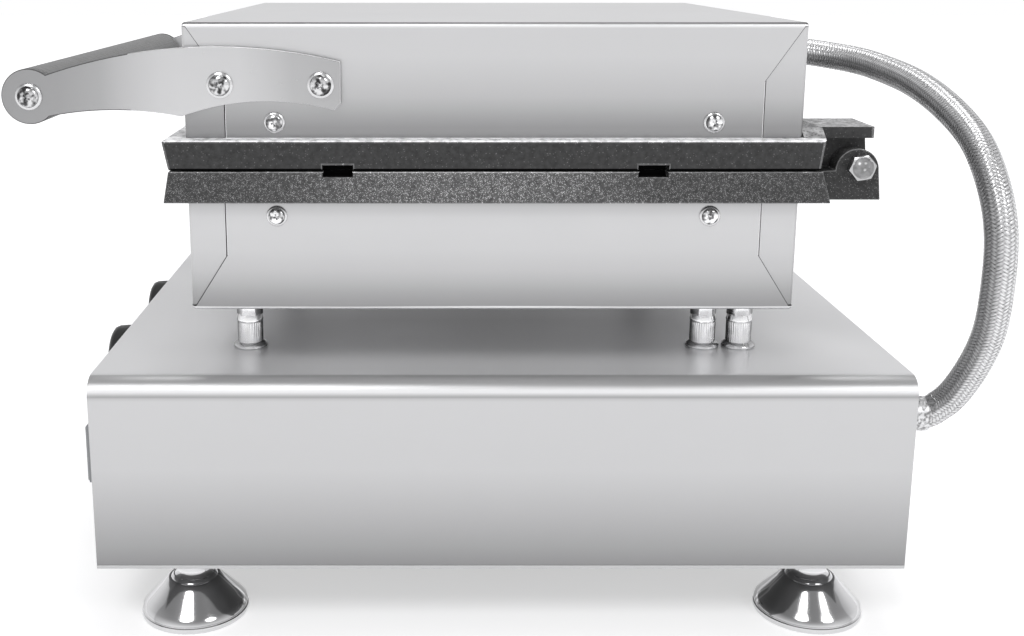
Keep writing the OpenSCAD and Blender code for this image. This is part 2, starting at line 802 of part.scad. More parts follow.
module insulation() {
    translate([0, housing_y, heater_d + clamp_t]) difference() {
        translate([-insulation_w / 2, -insulation_l / 2, 0])
            cube([insulation_w, insulation_l, insulation_t]);
        translate([-terminal_gap, heater_r - clamp_window_l / 2, -1])
            cube([2 * terminal_gap, clamp_window_l, terminal_room]);
        for (p = clamp_bolt_places)
            translate([p[0], p[1], -1]) cylinder(d = insulation_pocket_d, h = insulation_pocket_h);
    }
}

module below_lower_plate() place() translate([0, 0, lower_plate_z]) mirror([0, 0, 1]) children();
module above_upper_plate() place() translate([0, 0, upper_plate_z]) children();

module lower_heater() color(steel) below_lower_plate() heater();
module lower_heater_clamp() color(steel) below_lower_plate() heater_clamp();
module lower_clamp_bolts() color(chrome) below_lower_plate() clamp_bolts();
module lower_insulation() color(white) below_lower_plate() insulation();
module upper_heater() color(steel) above_upper_plate() heater();
module upper_heater_clamp() color(steel) above_upper_plate() heater_clamp();
module upper_clamp_bolts() color(chrome) above_upper_plate() clamp_bolts();
module upper_insulation() color(white) above_upper_plate() insulation();

// ---------- lid ----------

module arm_screw_places() {
    for (y = [0, arm_screw_pitch])
        translate([0, housing_front + arm_screw_inset + y, grip_z + arm_screw_rise]) children();
}

module upper_housing() color(steel) place() {
    difference() {
        translate([0, housing_y, lid_top]) mirror([0, 0, 1]) {
            difference() {
                housing_tray();
                side_screw_holes();
            }
        }
        arm_screw_places() rod_x(-housing_w, housing_w, arm_screw_d + 2 * bolt_fit);
        facing_rear(-lid_exit_x, housing_rear - 5, lid_exit_z)
            cylinder(d = conduit_d - 1 + 2 * hole_fit, h = 10);
    }
}

module upper_housing_screws() color(chrome) place() {
    translate([0, 0, upper_plate_z]) side_screws();
}

// curved arm without its round eye, drawn about the grip axis in Y and Z
module arm_outline() {
    top = arc_points([4.8, 7.6], [arm_end, arm_end_top], 8.3, arm_steps);
    rear = arc_points([arm_end - arm_corner, arm_end_bottom], [grip_ahead, arm_cusp], -4.6, arm_steps);
    front = arc_points([grip_ahead - 0.4, arm_cusp], [3.6, -8.4], -2.8, arm_steps);
    polygon(concat(top, [[arm_end, arm_end_bottom + arm_corner]], rear, front, [[0, 0]]));
}

module handle_arm() {
    difference() {
        translate([0, grip_y, grip_z]) {
            slab_x(arm_x, arm_x + arm_t) arm_outline();
            rod_x(arm_x, arm_x + arm_t, grip_d);
        }
        translate([0, grip_y, grip_z]) rod_x(0, housing_w, arm_screw_d + 2 * bolt_fit);
        arm_screw_places() rod_x(0, housing_w, arm_screw_d + 2 * bolt_fit);
    }
}

module right_handle_arm() color(steel) place() handle_arm();
module left_handle_arm() color(steel) place() mirror([1, 0, 0]) handle_arm();

module grip() color(grip_grey) place() {
    chamfer = 0.8;
    translate([0, grip_y, grip_z]) difference() {
        rotate([0, 90, 0]) rotate_extrude()
            polygon([[0, -arm_x], [grip_d / 2 - chamfer, -arm_x], [grip_d / 2, -arm_x + chamfer],
                     [grip_d / 2, arm_x - chamfer], [grip_d / 2 - chamfer, arm_x], [0, arm_x]]);
        both_sides() rod_x(arm_x - grip_screw_l - 1, arm_x + 1, arm_screw_d + 2 * bolt_fit);
    }
}

module grip_screws() color(chrome) place() {
    both_sides() translate([arm_x + arm_t, grip_y, grip_z]) rotate([0, 90, 0])
        pan_screw(arm_screw_d, arm_t + grip_screw_l);
}

module arm_screws() color(chrome) place() {
    both_sides() arm_screw_places() translate([arm_x + arm_t, 0, 0]) rotate([0, 90, 0])
        pan_screw(arm_screw_d, arm_screw_l);
}

module arm_spacers() color(chrome) place() {
    both_sides() arm_screw_places() difference() {
        rod_x(housing_w / 2, arm_x, arm_screw_d * 2.3);
        rod_x(housing_w / 2 - 1, arm_x + 1, arm_screw_d + 2 * bolt_fit);
    }
}

// the front pair of nuts bears on the corner flaps, the rear pair on the side panels
module arm_nuts() color(chrome) place() {
    nut_h = 4;
    both_sides() for (y = [arm_screw_inset, arm_screw_inset + arm_screw_pitch])
        let (sheets = y < flap_w + flap_lap ? 2 : 1, seat_x = housing_w / 2 - sheets * housing_sheet)
        translate([seat_x - nut_h, housing_front + y, grip_z + arm_screw_rise]) difference() {
            rotate([0, 90, 0]) hex(arm_screw_d * 1.8, nut_h);
            rod_x(-1, nut_h + 1, arm_screw_d + 2 * bolt_fit);
        }
}

// ---------- controls, drawn with the panel face at z = 0 and the room side up ----------

// skirted knob with finger flutes and a raised pointer
module knob() {
    r = knob_d / 2;
    h = knob_reach + panel_recess - knob_lift;
    skirt_h = 4;
    bore_l = h - 5;
    translate([0, 0, knob_lift]) {
        difference() {
            rotate_extrude()
                polygon([[shaft_d / 2 + 0.02, 0], [r, 0], [r, skirt_h - 1], [r - 1, skirt_h],
                         [r - 1.6, h - 3.4], [r - 2.4, h - 1.4], [r - 4.2, h - 0.3], [r - 6, h],
                         [0, h], [0, bore_l], [shaft_d / 2 + 0.02, bore_l]]);
            for (i = [0 : knob_flutes - 1])
                rotate(i * 360 / knob_flutes) translate([r + 0.6, 0, skirt_h]) cylinder(r = 2.2, h = h);
        }
        translate([-0.9, 3, h - 0.5]) cube([1.8, r - 9, 1]);
    }
}

module shaft() {
    translate([0, 0, -bushing_l - shaft_tail]) cylinder(d = shaft_d, h = knob_reach + shaft_tail);
}

// threaded bushing with the mechanism's case behind the panel
module mechanism(w, h, depth) {
    case_z = -base_sheet;
    difference() {
        union() {
            translate([-w / 2, -h / 2, case_z - depth]) cube([w, h, depth]);
            translate([0, 0, case_z - 1]) cylinder(d = bushing_d, h = 1 - case_z + 0.4);
        }
        translate([0, 0, -bushing_l - shaft_tail - 1])
            cylinder(d = shaft_d + 0.1, h = bushing_l + shaft_tail + 8);
    }
}

module timer_body() color(black) place() facing_front(timer_x, panel_front, knob_z)
    mechanism(timer_case_w, timer_case_h, timer_case_depth);
module thermostat_body() color(black) place() facing_front(-thermostat_x, panel_front, knob_z)
    mechanism(thermostat_case_w, thermostat_case_h, thermostat_case_depth);
module timer_shaft() color(chrome) place() facing_front(timer_x, panel_front, knob_z) shaft();
module thermostat_shaft() color(chrome) place() facing_front(-thermostat_x, panel_front, knob_z) shaft();
module timer_knob() color(black) place() facing_front(timer_x, panel_front, knob_z) knob();
module thermostat_knob() color(black) place() facing_front(-thermostat_x, panel_front, knob_z) knob();

// switch case with an open front that carries the rocker
module switch_body() color(black) place() facing_front(switch_x, panel_front, switch_z) {
    w = switch_cover_w - 2.4;
    h = switch_cover_h - 3.4;
    difference() {
        union() {
            translate([-w / 2, -h / 2, -switch_case_depth]) cube([w, h, switch_case_depth]);
            translate([-switch_cover_w / 2 + 1.2, -switch_cover_h / 2 + 1.2, 0])
                cube([switch_cover_w - 2.4, switch_cover_h - 2.4, 1]);
        }
        translate([-w / 2 + 2, -h / 2 + 2, -7]) cube([w - 4, h - 4, 10]);
        translate([0, 0, -2.5]) rod_x(-w / 2 + 0.8, w / 2 - 0.8, 3);
    }
}

// see-saw key on its own short axle
module switch_rocker() color(black) place() facing_front(switch_x, panel_front, switch_z) {
    w = switch_cover_w - 2.4 - 4 - 0.6;
    h = switch_cover_h - 3.4 - 4 - 2.4;
    translate([0, 0, -2.5]) {
        slab_x(-w / 2, w / 2)
            polygon([[-h / 2, 1.4], [-h / 2 + 0.6, 5.2], [0, 3.9],
                     [h / 2 - 0.9, 3.4], [h / 2, -0.6], [0, -2.4]]);
        rod_x(-w / 2 - 1.2, w / 2 + 1.2, 2.9);
    }
}

// soft clear cap over the switch
module switch_cover() color(clear) place() facing_front(switch_x, panel_front, switch_z) {
    wall = 1.1;
    edge = 0.7;
    reach = switch_cover_d + panel_recess;
    difference() {
        union() {
            translate([-switch_cover_w / 2, -switch_cover_h / 2, 0])
                cube([switch_cover_w, switch_cover_h, reach - edge]);
            translate([-switch_cover_w / 2 + edge, -switch_cover_h / 2 + edge, 0])
                cube([switch_cover_w - 2 * edge, switch_cover_h - 2 * edge, reach]);
        }
        translate([-switch_cover_w / 2 + wall, -switch_cover_h / 2 + wall, -1])
            cube([switch_cover_w - 2 * wall, switch_cover_h - 2 * wall, reach + 1 - wall]);
    }
}

// rimmed lens on a short barrel
module pilot_lamp() {
    rim = 1.5;
    r = lamp_d / 2;
    rotate_extrude()
        polygon([[0, -lamp_barrel_l], [r, -lamp_barrel_l], [r, 0], [r + rim, 0], [r + rim, 1], [r, 1.6],
                 [r - 0.8, 2.8], [0, 3.4]]);
}

module power_lamp() color(green) place()
    facing_front(power_lamp_x, panel_front, lamp_z) pilot_lamp();
module heating_lamp() color(amber) place()
    facing_front(-heating_lamp_x, panel_front, lamp_z) pilot_lamp();

// ---------- wiring ----------

module terminal_block() color(white) place() {
    hole_d = terminal_pitch * 0.45;
    translate([-terminal_ways * terminal_pitch / 2, panel_rear - terminal_inset, floor_top]) difference() {
        cube([terminal_ways * terminal_pitch, terminal_l, terminal_h]);
        for (i = [0 : terminal_ways - 1], y = [0.27, 0.73] * terminal_l)
            translate([(i + 0.5) * terminal_pitch, y, terminal_h * 0.45])
                cylinder(d = hole_d, h = terminal_h);
    }
}

// gland with a hexagonal body outside and a nut inside the panel
module cable_gland() color(black) place() facing_rear(-gland_x, panel_rear, floor_top + gland_rise) {
    body_d = gland_bore_d + 7;
    difference() {
        union() {
            translate([0, 0, -base_sheet - 5]) hex(body_d + 6, 5);
            translate([0, 0, -base_sheet - 5]) cylinder(d = body_d, h = base_sheet + 6);
            hex(body_d + 5, 8);
            translate([0, 0, 8]) cylinder(d1 = body_d + 2, d2 = body_d - 1, h = 10);
        }
        translate([0, 0, -20]) cylinder(d = gland_bore_d, h = 50);
    }
}

module earth_stud() color(chrome) place() facing_rear(-earth_x, panel_rear, floor_top + gland_rise) {
    nut_h = 5;
    lock_nut_h = 4;
    nut_d = earth_stud_d + 5;
    translate([0, 0, -base_sheet - 2 * lock_nut_h])
        cylinder(d = earth_tail_d, h = base_sheet + 2 * lock_nut_h + 1);
    translate([0, 0, -base_sheet - lock_nut_h]) hex(nut_d, lock_nut_h);
    hex(nut_d, nut_h);
    translate([0, 0, nut_h - 1]) cylinder(d = earth_stud_d, h = earth_stud_l + 1);
}

// hexagonal nut on the wall, threaded tail through it and a ringed collar for the conduit
module conduit_fitting(wall) {
    tail_d = conduit_d - 1;
    bore_d = conduit_d - 4;
    ring_d = fitting_d + 1.4;
    difference() {
        union() {
            translate([0, 0, -wall - 8]) cylinder(d = tail_d, h = wall + 9);
            translate([0, 0, -wall - 4]) hex(tail_d + 6, 4);
            hex(fitting_d + 3, 5);
            cylinder(d = fitting_d, h = fitting_l);
            translate([0, 0, fitting_l - 8]) cylinder(d = ring_d, h = 2.5);
        }
        translate([0, 0, -50]) cylinder(d = bore_d, h = 100);
    }
}

module base_conduit_fitting() color(chrome) place()
    facing_rear(base_exit_x, panel_rear, base_exit_z) conduit_fitting(base_sheet);
module lid_conduit_fitting() color(chrome) place()
    facing_rear(-lid_exit_x, housing_rear, lid_exit_z) conduit_fitting(housing_sheet);

// steering point in front of an end of a route that makes the curve leave that end along Y
function steer(end, next) = [next[0], 2 * end[1] - next[1], next[2]];

// a smooth curve through the points p, of which the first and the last only steer it
function smooth(p, steps) =
    let (last = len(p) - 3)
    [for (i = [1 : last], k = [0 : (i == last ? steps : steps - 1)])
        let (t = k / steps, a = p[i - 1], b = p[i], c = p[i + 1], d = p[i + 2])
        b + 0.5 * t * ((c - a) + t * (2 * a - 5 * b + 4 * c - d + t * (3 * (b - c) + d - a)))];

// round tube along the points p; its first and last rings stand square to the Y axis
module tube_along(p, r, sides) {
    last = len(p) - 1;
    heading = [for (i = [0 : last])
        let (v = i == 0 || i == last ? [0, i == 0 ? 1 : -1, 0] : p[i + 1] - p[i - 1]) v / norm(v)];
    rings = [for (i = [0 : last])
        let (side = cross(heading[i], [0.2, 0.1, 1]),
             u = side / norm(side),
             w = cross(u, heading[i]))
        [for (k = [0 : sides - 1])
            let (a = 360 * k / sides) p[i] + r * (u * cos(a) + w * sin(a))]];
    polyhedron(
        points = [for (ring = rings, point = ring) point],
        faces = concat(
            [[for (k = [sides - 1 : -1 : 0]) k]],
            [for (i = [0 : last - 1], k = [0 : sides - 1])
                let (a = i * sides + k, b = i * sides + (k + 1) % sides)
                [a, b, b + sides, a + sides]],
            [[for (k = [0 : sides - 1]) last * sides + k]]));
}

module conduit() color(steel) place() {
    first = conduit_route[0];
    last = conduit_route[len(conduit_route) - 1];
    route = concat([steer(base_exit, first), base_exit], conduit_route, [lid_exit, steer(lid_exit, last)]);
    tube_along(smooth(route, conduit_rings), conduit_d / 2, conduit_sides);
}

base_cover();
front_panel();
rear_panel();
bottom_plate();
foot_front_left();
foot_front_right();
foot_rear_left();
foot_rear_right();
foot_bolts();
support_legs();
leg_bolts();
wiring_tube();
lower_housing();
lower_housing_screws();
lower_plate();
lower_heater();
lower_heater_clamp();
lower_clamp_bolts();
lower_insulation();
hinge_bolts();
hinge_nuts();
timer_body();
thermostat_body();
switch_body();
switch_cover();
power_lamp();
heating_lamp();
terminal_block();
cable_gland();
earth_stud();
base_conduit_fitting();
conduit();
upper_housing();
upper_housing_screws();
upper_plate();
upper_heater();
upper_heater_clamp();
upper_clamp_bolts();
upper_insulation();
left_handle_arm();
right_handle_arm();
grip();
grip_screws();
arm_screws();
arm_spacers();
arm_nuts();
lid_conduit_fitting();
timer_knob();
timer_shaft();
thermostat_knob();
thermostat_shaft();
switch_rocker();
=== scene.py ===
import json
import math
import bpy
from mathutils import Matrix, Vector

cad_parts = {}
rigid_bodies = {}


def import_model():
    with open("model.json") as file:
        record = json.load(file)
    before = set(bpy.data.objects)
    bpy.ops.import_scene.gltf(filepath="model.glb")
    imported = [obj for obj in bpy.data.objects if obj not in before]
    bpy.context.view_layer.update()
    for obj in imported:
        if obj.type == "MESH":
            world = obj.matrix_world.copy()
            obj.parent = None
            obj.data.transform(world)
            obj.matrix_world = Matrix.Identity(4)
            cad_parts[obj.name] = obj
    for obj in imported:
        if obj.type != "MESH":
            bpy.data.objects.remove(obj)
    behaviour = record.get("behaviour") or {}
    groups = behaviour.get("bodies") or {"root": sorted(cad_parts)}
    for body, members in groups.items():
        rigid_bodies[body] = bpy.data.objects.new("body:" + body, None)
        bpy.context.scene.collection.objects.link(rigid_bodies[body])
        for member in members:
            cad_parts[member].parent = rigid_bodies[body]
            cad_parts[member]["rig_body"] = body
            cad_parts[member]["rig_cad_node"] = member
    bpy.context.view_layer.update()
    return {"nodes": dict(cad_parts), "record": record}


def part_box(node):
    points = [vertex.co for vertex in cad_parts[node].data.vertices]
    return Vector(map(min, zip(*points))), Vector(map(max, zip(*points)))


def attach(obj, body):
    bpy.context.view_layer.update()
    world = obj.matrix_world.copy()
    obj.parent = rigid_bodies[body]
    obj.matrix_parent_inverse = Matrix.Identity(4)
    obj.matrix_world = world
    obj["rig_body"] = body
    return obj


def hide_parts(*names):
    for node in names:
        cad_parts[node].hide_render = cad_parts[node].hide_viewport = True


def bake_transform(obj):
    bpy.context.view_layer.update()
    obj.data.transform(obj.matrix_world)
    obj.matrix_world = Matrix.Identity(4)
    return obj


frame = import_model()
nodes = frame["nodes"]
mm = 0.001

camera = {"place": (0.60502, -0.03502, 0.26993), "tilt": 77.735, "turn": 90, "lens": 44.36, "sensor": 36,
          "shift": (0.0781, -0.079), "clip": (0.02, 60)}
bpy.ops.object.camera_add(location=camera["place"],
                          rotation=(math.radians(camera["tilt"]), 0, math.radians(camera["turn"])))
viewer = bpy.context.object
viewer.data.lens = camera["lens"]
viewer.data.sensor_width = camera["sensor"]
viewer.data.shift_x, viewer.data.shift_y = camera["shift"]
viewer.data.clip_start, viewer.data.clip_end = camera["clip"]
bpy.context.scene.camera = viewer
print("camera set")

# shared by the tools below: a merging distance, and the angles of flat faces, of edges to round, of shading
bench = {"merge": 2e-6, "flat": 1.0, "sharp": 35, "smooth": 32}


def pickOnly(obj):
    if bpy.context.object and bpy.context.object.mode != "OBJECT":
        bpy.ops.object.mode_set(mode="OBJECT")
    bpy.ops.object.select_all(action="DESELECT")
    obj.select_set(True)
    bpy.context.view_layer.objects.active = obj


def editMode(obj, kind="FACE"):
    pickOnly(obj)
    bpy.context.tool_settings.mesh_select_mode = (kind == "VERT", kind == "EDGE", kind == "FACE")
    bpy.ops.object.mode_set(mode="EDIT")


def leaveEdit():
    bpy.ops.object.mode_set(mode="OBJECT")


def editAll(obj, kind="FACE"):  # edit mode with everything picked
    editMode(obj, kind)
    bpy.ops.mesh.select_all(action="SELECT")


def settle(obj):  # puts the object's place, turn and size into its mesh
    pickOnly(obj)
    bpy.ops.object.transform_apply(location=True, rotation=True, scale=True)
    return obj


def clearPicks(obj):
    for part in (obj.data.vertices, obj.data.edges, obj.data.polygons):
        part.foreach_set("select", [False] * len(part))


def pickFaces(obj, test):  # leaves the piece in edit mode with those faces picked
    pickOnly(obj)
    clearPicks(obj)
    for face in obj.data.polygons:
        face.select = bool(test(face.center, face.normal))
    editMode(obj, "FACE")


def pickEdges(obj, test):  # test gets both ends of an edge
    pickOnly(obj)
    clearPicks(obj)
    points = obj.data.vertices
    for edge in obj.data.edges:
        edge.select = bool(test(points[edge.vertices[0]].co, points[edge.vertices[1]].co))
    editMode(obj, "EDGE")


def dropFaces(obj, test):
    pickFaces(obj, test)
    bpy.ops.mesh.delete(type="FACE")
    leaveEdit()


def bevelPicked(width, steps, **values):  # bevels the edges picked in edit mode
    bpy.ops.mesh.bevel(offset=width * mm, segments=steps, affect="EDGES", **values)
    leaveEdit()


def startBox(name, low, high):  # from corner to corner, in metres
    bpy.ops.object.select_all(action="DESELECT")
    middle = [(a + b) / 2 for a, b in zip(low, high)]
    bpy.ops.mesh.primitive_cube_add(size=1, location=middle, scale=[b - a for a, b in zip(low, high)])
    obj = bpy.context.object
    obj.name = name
    return settle(obj)


def startLine(name, points):  # one vertex extruded from point to point
    bpy.ops.object.select_all(action="DESELECT")
    bpy.ops.mesh.primitive_plane_add(size=mm, location=points[0])
    obj = bpy.context.object
    obj.name = name
    settle(obj)
    editAll(obj, "VERT")
    bpy.ops.mesh.merge(type="CENTER")
    for here, there in zip(points, points[1:]):
        bpy.ops.mesh.extrude_region_move(TRANSFORM_OT_translate={"value": Vector(there) - Vector(here)})
    leaveEdit()
    return obj


def startTurned(name, profile, steps=64):  # profile in radius and height, in mm, turned about Z
    obj = startLine(name, [(r * mm, 0, h * mm) for r, h in profile])
    editAll(obj, "VERT")
    bpy.ops.mesh.spin(steps=steps, angle=2 * math.pi, center=(0, 0, 0), axis=(0, 0, 1))
    bpy.ops.mesh.select_all(action="SELECT")
    bpy.ops.mesh.remove_doubles(threshold=bench["merge"])
    bpy.ops.mesh.normals_make_consistent(inside=False)
    leaveEdit()
    return obj


def startHex(name, across, low, high):  # across the corners, in mm, standing on Z
    bpy.ops.object.select_all(action="DESELECT")
    bpy.ops.mesh.primitive_cylinder_add(vertices=6, radius=across / 2 * mm, depth=(high - low) * mm,
                                        location=(0, 0, (high + low) / 2 * mm))
    obj = bpy.context.object
    obj.name = name
    return settle(obj)


def applyModifier(obj, kind, **values):
    pickOnly(obj)
    bpy.ops.object.modifier_add(type=kind)
    modifier = obj.modifiers[-1]
    for key, value in values.items():
        setattr(modifier, key, value)
    bpy.ops.object.modifier_apply(modifier=modifier.name)
    return obj


def thicken(obj, sheet):  # a folded shell gets its wall, inwards, in mm
    return applyModifier(obj, "SOLIDIFY", thickness=sheet * mm, offset=-1, use_even_offset=True)


def roundEdges(obj, width, steps=2, angle=bench["sharp"], finishPlace=-1):
    return applyModifier(obj, "BEVEL", width=width * mm, segments=steps, limit_method="ANGLE",
                         angle_limit=math.radians(angle), use_clamp_overlap=True, material=finishPlace)


def cutAway(obj, tool, operation="DIFFERENCE"):  # the tool is used up
    applyModifier(obj, "BOOLEAN", operation=operation, object=tool, solver="EXACT")
    bpy.data.objects.remove(tool)
    return obj


def joinUp(name, objs):
    bpy.ops.object.select_all(action="DESELECT")
    for obj in objs:
        obj.select_set(True)
    bpy.context.view_layer.objects.active = objs[0]
    if len(objs) > 1:
        bpy.ops.object.join()
    objs[0].name = name
    return objs[0]


def copyTo(obj, place=(0, 0, 0), turn=(0, 0, 0)):  # a copy with its own mesh, in mm and degrees
    pickOnly(obj)
    bpy.ops.object.duplicate()
    copy = bpy.context.object
    copy.location = [v * mm for v in place]
    copy.rotation_euler = [math.radians(v) for v in turn]
    return settle(copy)


def copyOfNode(name, node):  # a clean copy of a CAD node to dress
    pickOnly(nodes[node])
    bpy.ops.object.duplicate()
    obj = bpy.context.object
    bpy.ops.object.parent_clear(type="CLEAR_KEEP_TRANSFORM")
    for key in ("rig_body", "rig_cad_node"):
        del obj[key]
    obj.name = name
    editAll(obj)
    bpy.ops.mesh.remove_doubles(threshold=bench["merge"])
    bpy.ops.mesh.dissolve_limited(angle_limit=math.radians(bench["flat"]))
    leaveEdit()
    return obj


def boxMiddle(node):  # the middle of a CAD node's box, in mm
    low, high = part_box(node)
    return (low + high) / 2 / mm


def setFinishes(obj, *keys):
    obj.data.materials.clear()
    for key in keys:
        obj.data.materials.append(finish[key])


def paintFaces(obj, choose):  # choose(face) gives the place of a face's finish
    for face in obj.data.polygons:
        face.material_index = choose(face)


def storeValues(obj, name, values):  # one value per point, for a finish to read
    obj.data.attributes.new(name, "FLOAT", "POINT").data.foreach_set("value", values)


def finishPiece(obj, material, body, stands=(), angle=bench["smooth"], weigh=True):
    settle(obj)
    if material:
        obj.data.materials.clear()
        obj.data.materials.append(material)
    bpy.ops.object.shade_smooth_by_angle(angle=math.radians(angle))
    if weigh:
        applyModifier(obj, "WEIGHTED_NORMAL", keep_sharp=True)
    if body:
        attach(obj, body)
    if stands:
        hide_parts(*stands)
    return obj


# shader tools: each adds a node to a tree and returns the output that is used
def grey(value):
    return (value, value, value * 1.01, 1)


def feed(tree, node, sockets):  # links a source to each named socket, or sets its value
    for key, value in sockets.items():
        if isinstance(value, bpy.types.NodeSocket):
            tree.links.new(value, node.inputs[key])
        else:
            node.inputs[key].default_value = value


def addNode(tree, kind, sockets=None, **settings):
    node = tree.nodes.new(kind)
    for key, value in settings.items():
        setattr(node, key, value)
    feed(tree, node, sockets or {})
    return node


def addSpot(tree):
    return addNode(tree, "ShaderNodeTexCoord").outputs["Object"]


def addTurned(tree, spot, turn):
    return addNode(tree, "ShaderNodeMapping", {"Vector": spot, "Rotation": turn}).outputs[0]


def addNoise(tree, spot, scale, detail, roughness=0.5):
    return addNode(tree, "ShaderNodeTexNoise", {"Vector": spot, "Scale": scale, "Detail": detail,
                                                "Roughness": roughness}).outputs[0]


def addMath(tree, operation, *values, **settings):
    return addNode(tree, "ShaderNodeMath", dict(enumerate(values)), operation=operation, **settings).outputs[0]


def addRange(tree, value, start, stop, low=0.0, high=1.0, **settings):
    return addNode(tree, "ShaderNodeMapRange", {"Value": value, "From Min": start, "From Max": stop,
                                                "To Min": low, "To Max": high}, **settings).outputs[0]


def addScaled(tree, colour, gain):
    return addNode(tree, "ShaderNodeVectorMath", {0: colour, "Scale": gain}, operation="SCALE").outputs[0]


def addMix(tree, share, first, second):
    return addNode(tree, "ShaderNodeMix", {"Factor": share, 6: first, 7: second}, data_type="RGBA").outputs[2]


def addRamp(tree, value, tones):  # tones: place and grey of each stop
    ramp = addNode(tree, "ShaderNodeValToRGB", {0: value})
    stops = ramp.color_ramp.elements
    while len(stops) < len(tones):
        stops.new(0.5)
    for stop, (place, tone) in zip(stops, tones):
        stop.position, stop.color = place, grey(tone)
    return ramp.outputs[0]


def addStored(tree, name):  # a value that storeValues left on the piece
    return addNode(tree, "ShaderNodeAttribute", attribute_name=name).outputs["Fac"]


def addBump(tree, shader, height, strength, distance):
    bump = addNode(tree, "ShaderNodeBump", {"Height": height, "Strength": strength, "Distance": distance})
    feed(tree, shader, {"Normal": bump.outputs[0]})


def newGroup(name, inputs, outputs):
    group = bpy.data.node_groups.new(name, "ShaderNodeTree")
    for title, kind, value in inputs:
        socket = group.interface.new_socket(title, in_out="INPUT", socket_type=kind)
        socket.default_value = value
    for title, kind in outputs:
        group.interface.new_socket(title, in_out="OUTPUT", socket_type=kind)
    start, end = group.nodes.new("NodeGroupInput"), group.nodes.new("NodeGroupOutput")
    return group, start.outputs, end


grainNoise = {"detail": 3.0, "cloud": 22.0, "cloudDetail": 2.0}


def makeGrainGroup():  # fine rolled grain: roughness round a base, and a height
    group, given, end = newGroup("rolledGrain",
                                 [("Scale", "NodeSocketVector", (1, 1, 1)),
                                  ("Base", "NodeSocketFloat", 0.3),
                                  ("Spread", "NodeSocketFloat", 0.1)],
                                 [("Roughness", "NodeSocketFloat"), ("Height", "NodeSocketFloat")])
    spot = addSpot(group)
    stretched = addNode(group, "ShaderNodeMapping", {"Vector": spot, "Scale": given["Scale"]})
    grain = addNoise(group, stretched.outputs[0], 1.0, grainNoise["detail"])
    cloud = addNoise(group, spot, grainNoise["cloud"], grainNoise["cloudDetail"])
    around = addMath(group, "SUBTRACT", addMath(group, "ADD", grain, cloud), 1.0)
    rough = addMath(group, "MULTIPLY_ADD", around, given["Spread"], given["Base"])
    feed(group, end, {"Roughness": rough, "Height": grain})
    return group


spanNoise = {"scale": 9.0, "detail": 2.0}


def makeSpanGroup():  # 0 at one end of a panel, 1 at the other, a little cloudy
    group, given, end = newGroup("panelSpan",
                                 [("Axis", "NodeSocketVector", (0, 0, 1)), ("From", "NodeSocketFloat", 0.1),
                                  ("To", "NodeSocketFloat", 0.0), ("Cloud", "NodeSocketFloat", 0.03)],
                                 [("Depth", "NodeSocketFloat")])
    spot = addSpot(group)
    along = addNode(group, "ShaderNodeVectorMath", {0: spot, 1: given["Axis"]}, operation="DOT_PRODUCT")
    span = addRange(group, along.outputs["Value"], given["From"], given["To"])
    cloud = addNoise(group, spot, spanNoise["scale"], spanNoise["detail"])
    centred = addMath(group, "SUBTRACT", cloud, 0.5)
    soft = addMath(group, "MULTIPLY_ADD", centred, given["Cloud"], 1.0)
    feed(group, end, {"Depth": addMath(group, "MULTIPLY", soft, span, use_clamp=True)})
    return group


castNoise = {"detail": 4.0, "roughness": 0.7, "turn": (0.6, 0.4, 0.9), "core": 0.12,
             "cloud": 0.3, "cloudDetail": 3.0, "blotch": (0.32, 0.68, 0.6, 1.4), "rough": (0.3, 0.7, 0.42, 0.7)}


def makeCastGroup():  # sand-cast skin with small bright flecks
    group, given, end = newGroup("castSkin",
                                 [("Scale", "NodeSocketFloat", 900.0), ("Flecks", "NodeSocketFloat", 0.3),
                                  ("Reach", "NodeSocketFloat", 0.32),
                                  ("Body", "NodeSocketColor", (0.05, 0.05, 0.05, 1)),
                                  ("Fleck", "NodeSocketColor", (0.4, 0.4, 0.4, 1))],
                                 [("Color", "NodeSocketColor"), ("Roughness", "NodeSocketFloat"),
                                  ("Height", "NodeSocketFloat")])
    spot = addSpot(group)
    grain = addNoise(group, spot, given["Scale"], castNoise["detail"], castNoise["roughness"])
    cells = addNode(group, "ShaderNodeTexVoronoi", {"Vector": addTurned(group, spot, castNoise["turn"]),
                                                    "Scale": given["Scale"]})
    near = addRange(group, cells.outputs["Distance"], given["Reach"], castNoise["core"])
    draw = addNode(group, "ShaderNodeSeparateColor", {0: cells.outputs["Color"]}).outputs[0]
    fleck = addMath(group, "MULTIPLY", near, addMath(group, "LESS_THAN", draw, given["Flecks"]))
    colour = addMix(group, fleck, given["Body"], given["Fleck"])
    coarse = addMath(group, "MULTIPLY", given["Scale"], castNoise["cloud"])
    cloud = addNoise(group, spot, coarse, castNoise["cloudDetail"])
    blotched = addScaled(group, colour, addRange(group, cloud, *castNoise["blotch"]))
    rough = addRange(group, grain, *castNoise["rough"])
    feed(group, end, {"Color": blotched, "Roughness": rough, "Height": grain})
    return group


rolledGrain = makeGrainGroup()
panelSpan = makeSpanGroup()
castSkin = makeCastGroup()


def startMaterial(name, **settings):
    material = bpy.data.materials.new(name)
    material.use_nodes = True
    shader = material.node_tree.nodes["Principled BSDF"]
    feed(material.node_tree, shader, settings)
    return material, material.node_tree, shader


def addGrain(tree, shader, scale, rough, spread, bump):  # the rolled grain on roughness and bump
    rolled = addNode(tree, "ShaderNodeGroup", {"Scale": scale, "Base": rough, "Spread": spread},
                     node_tree=rolledGrain)
    feed(tree, shader, {"Roughness": rolled.outputs["Roughness"]})
    addBump(tree, shader, rolled.outputs["Height"], bump, 0.1 * mm)


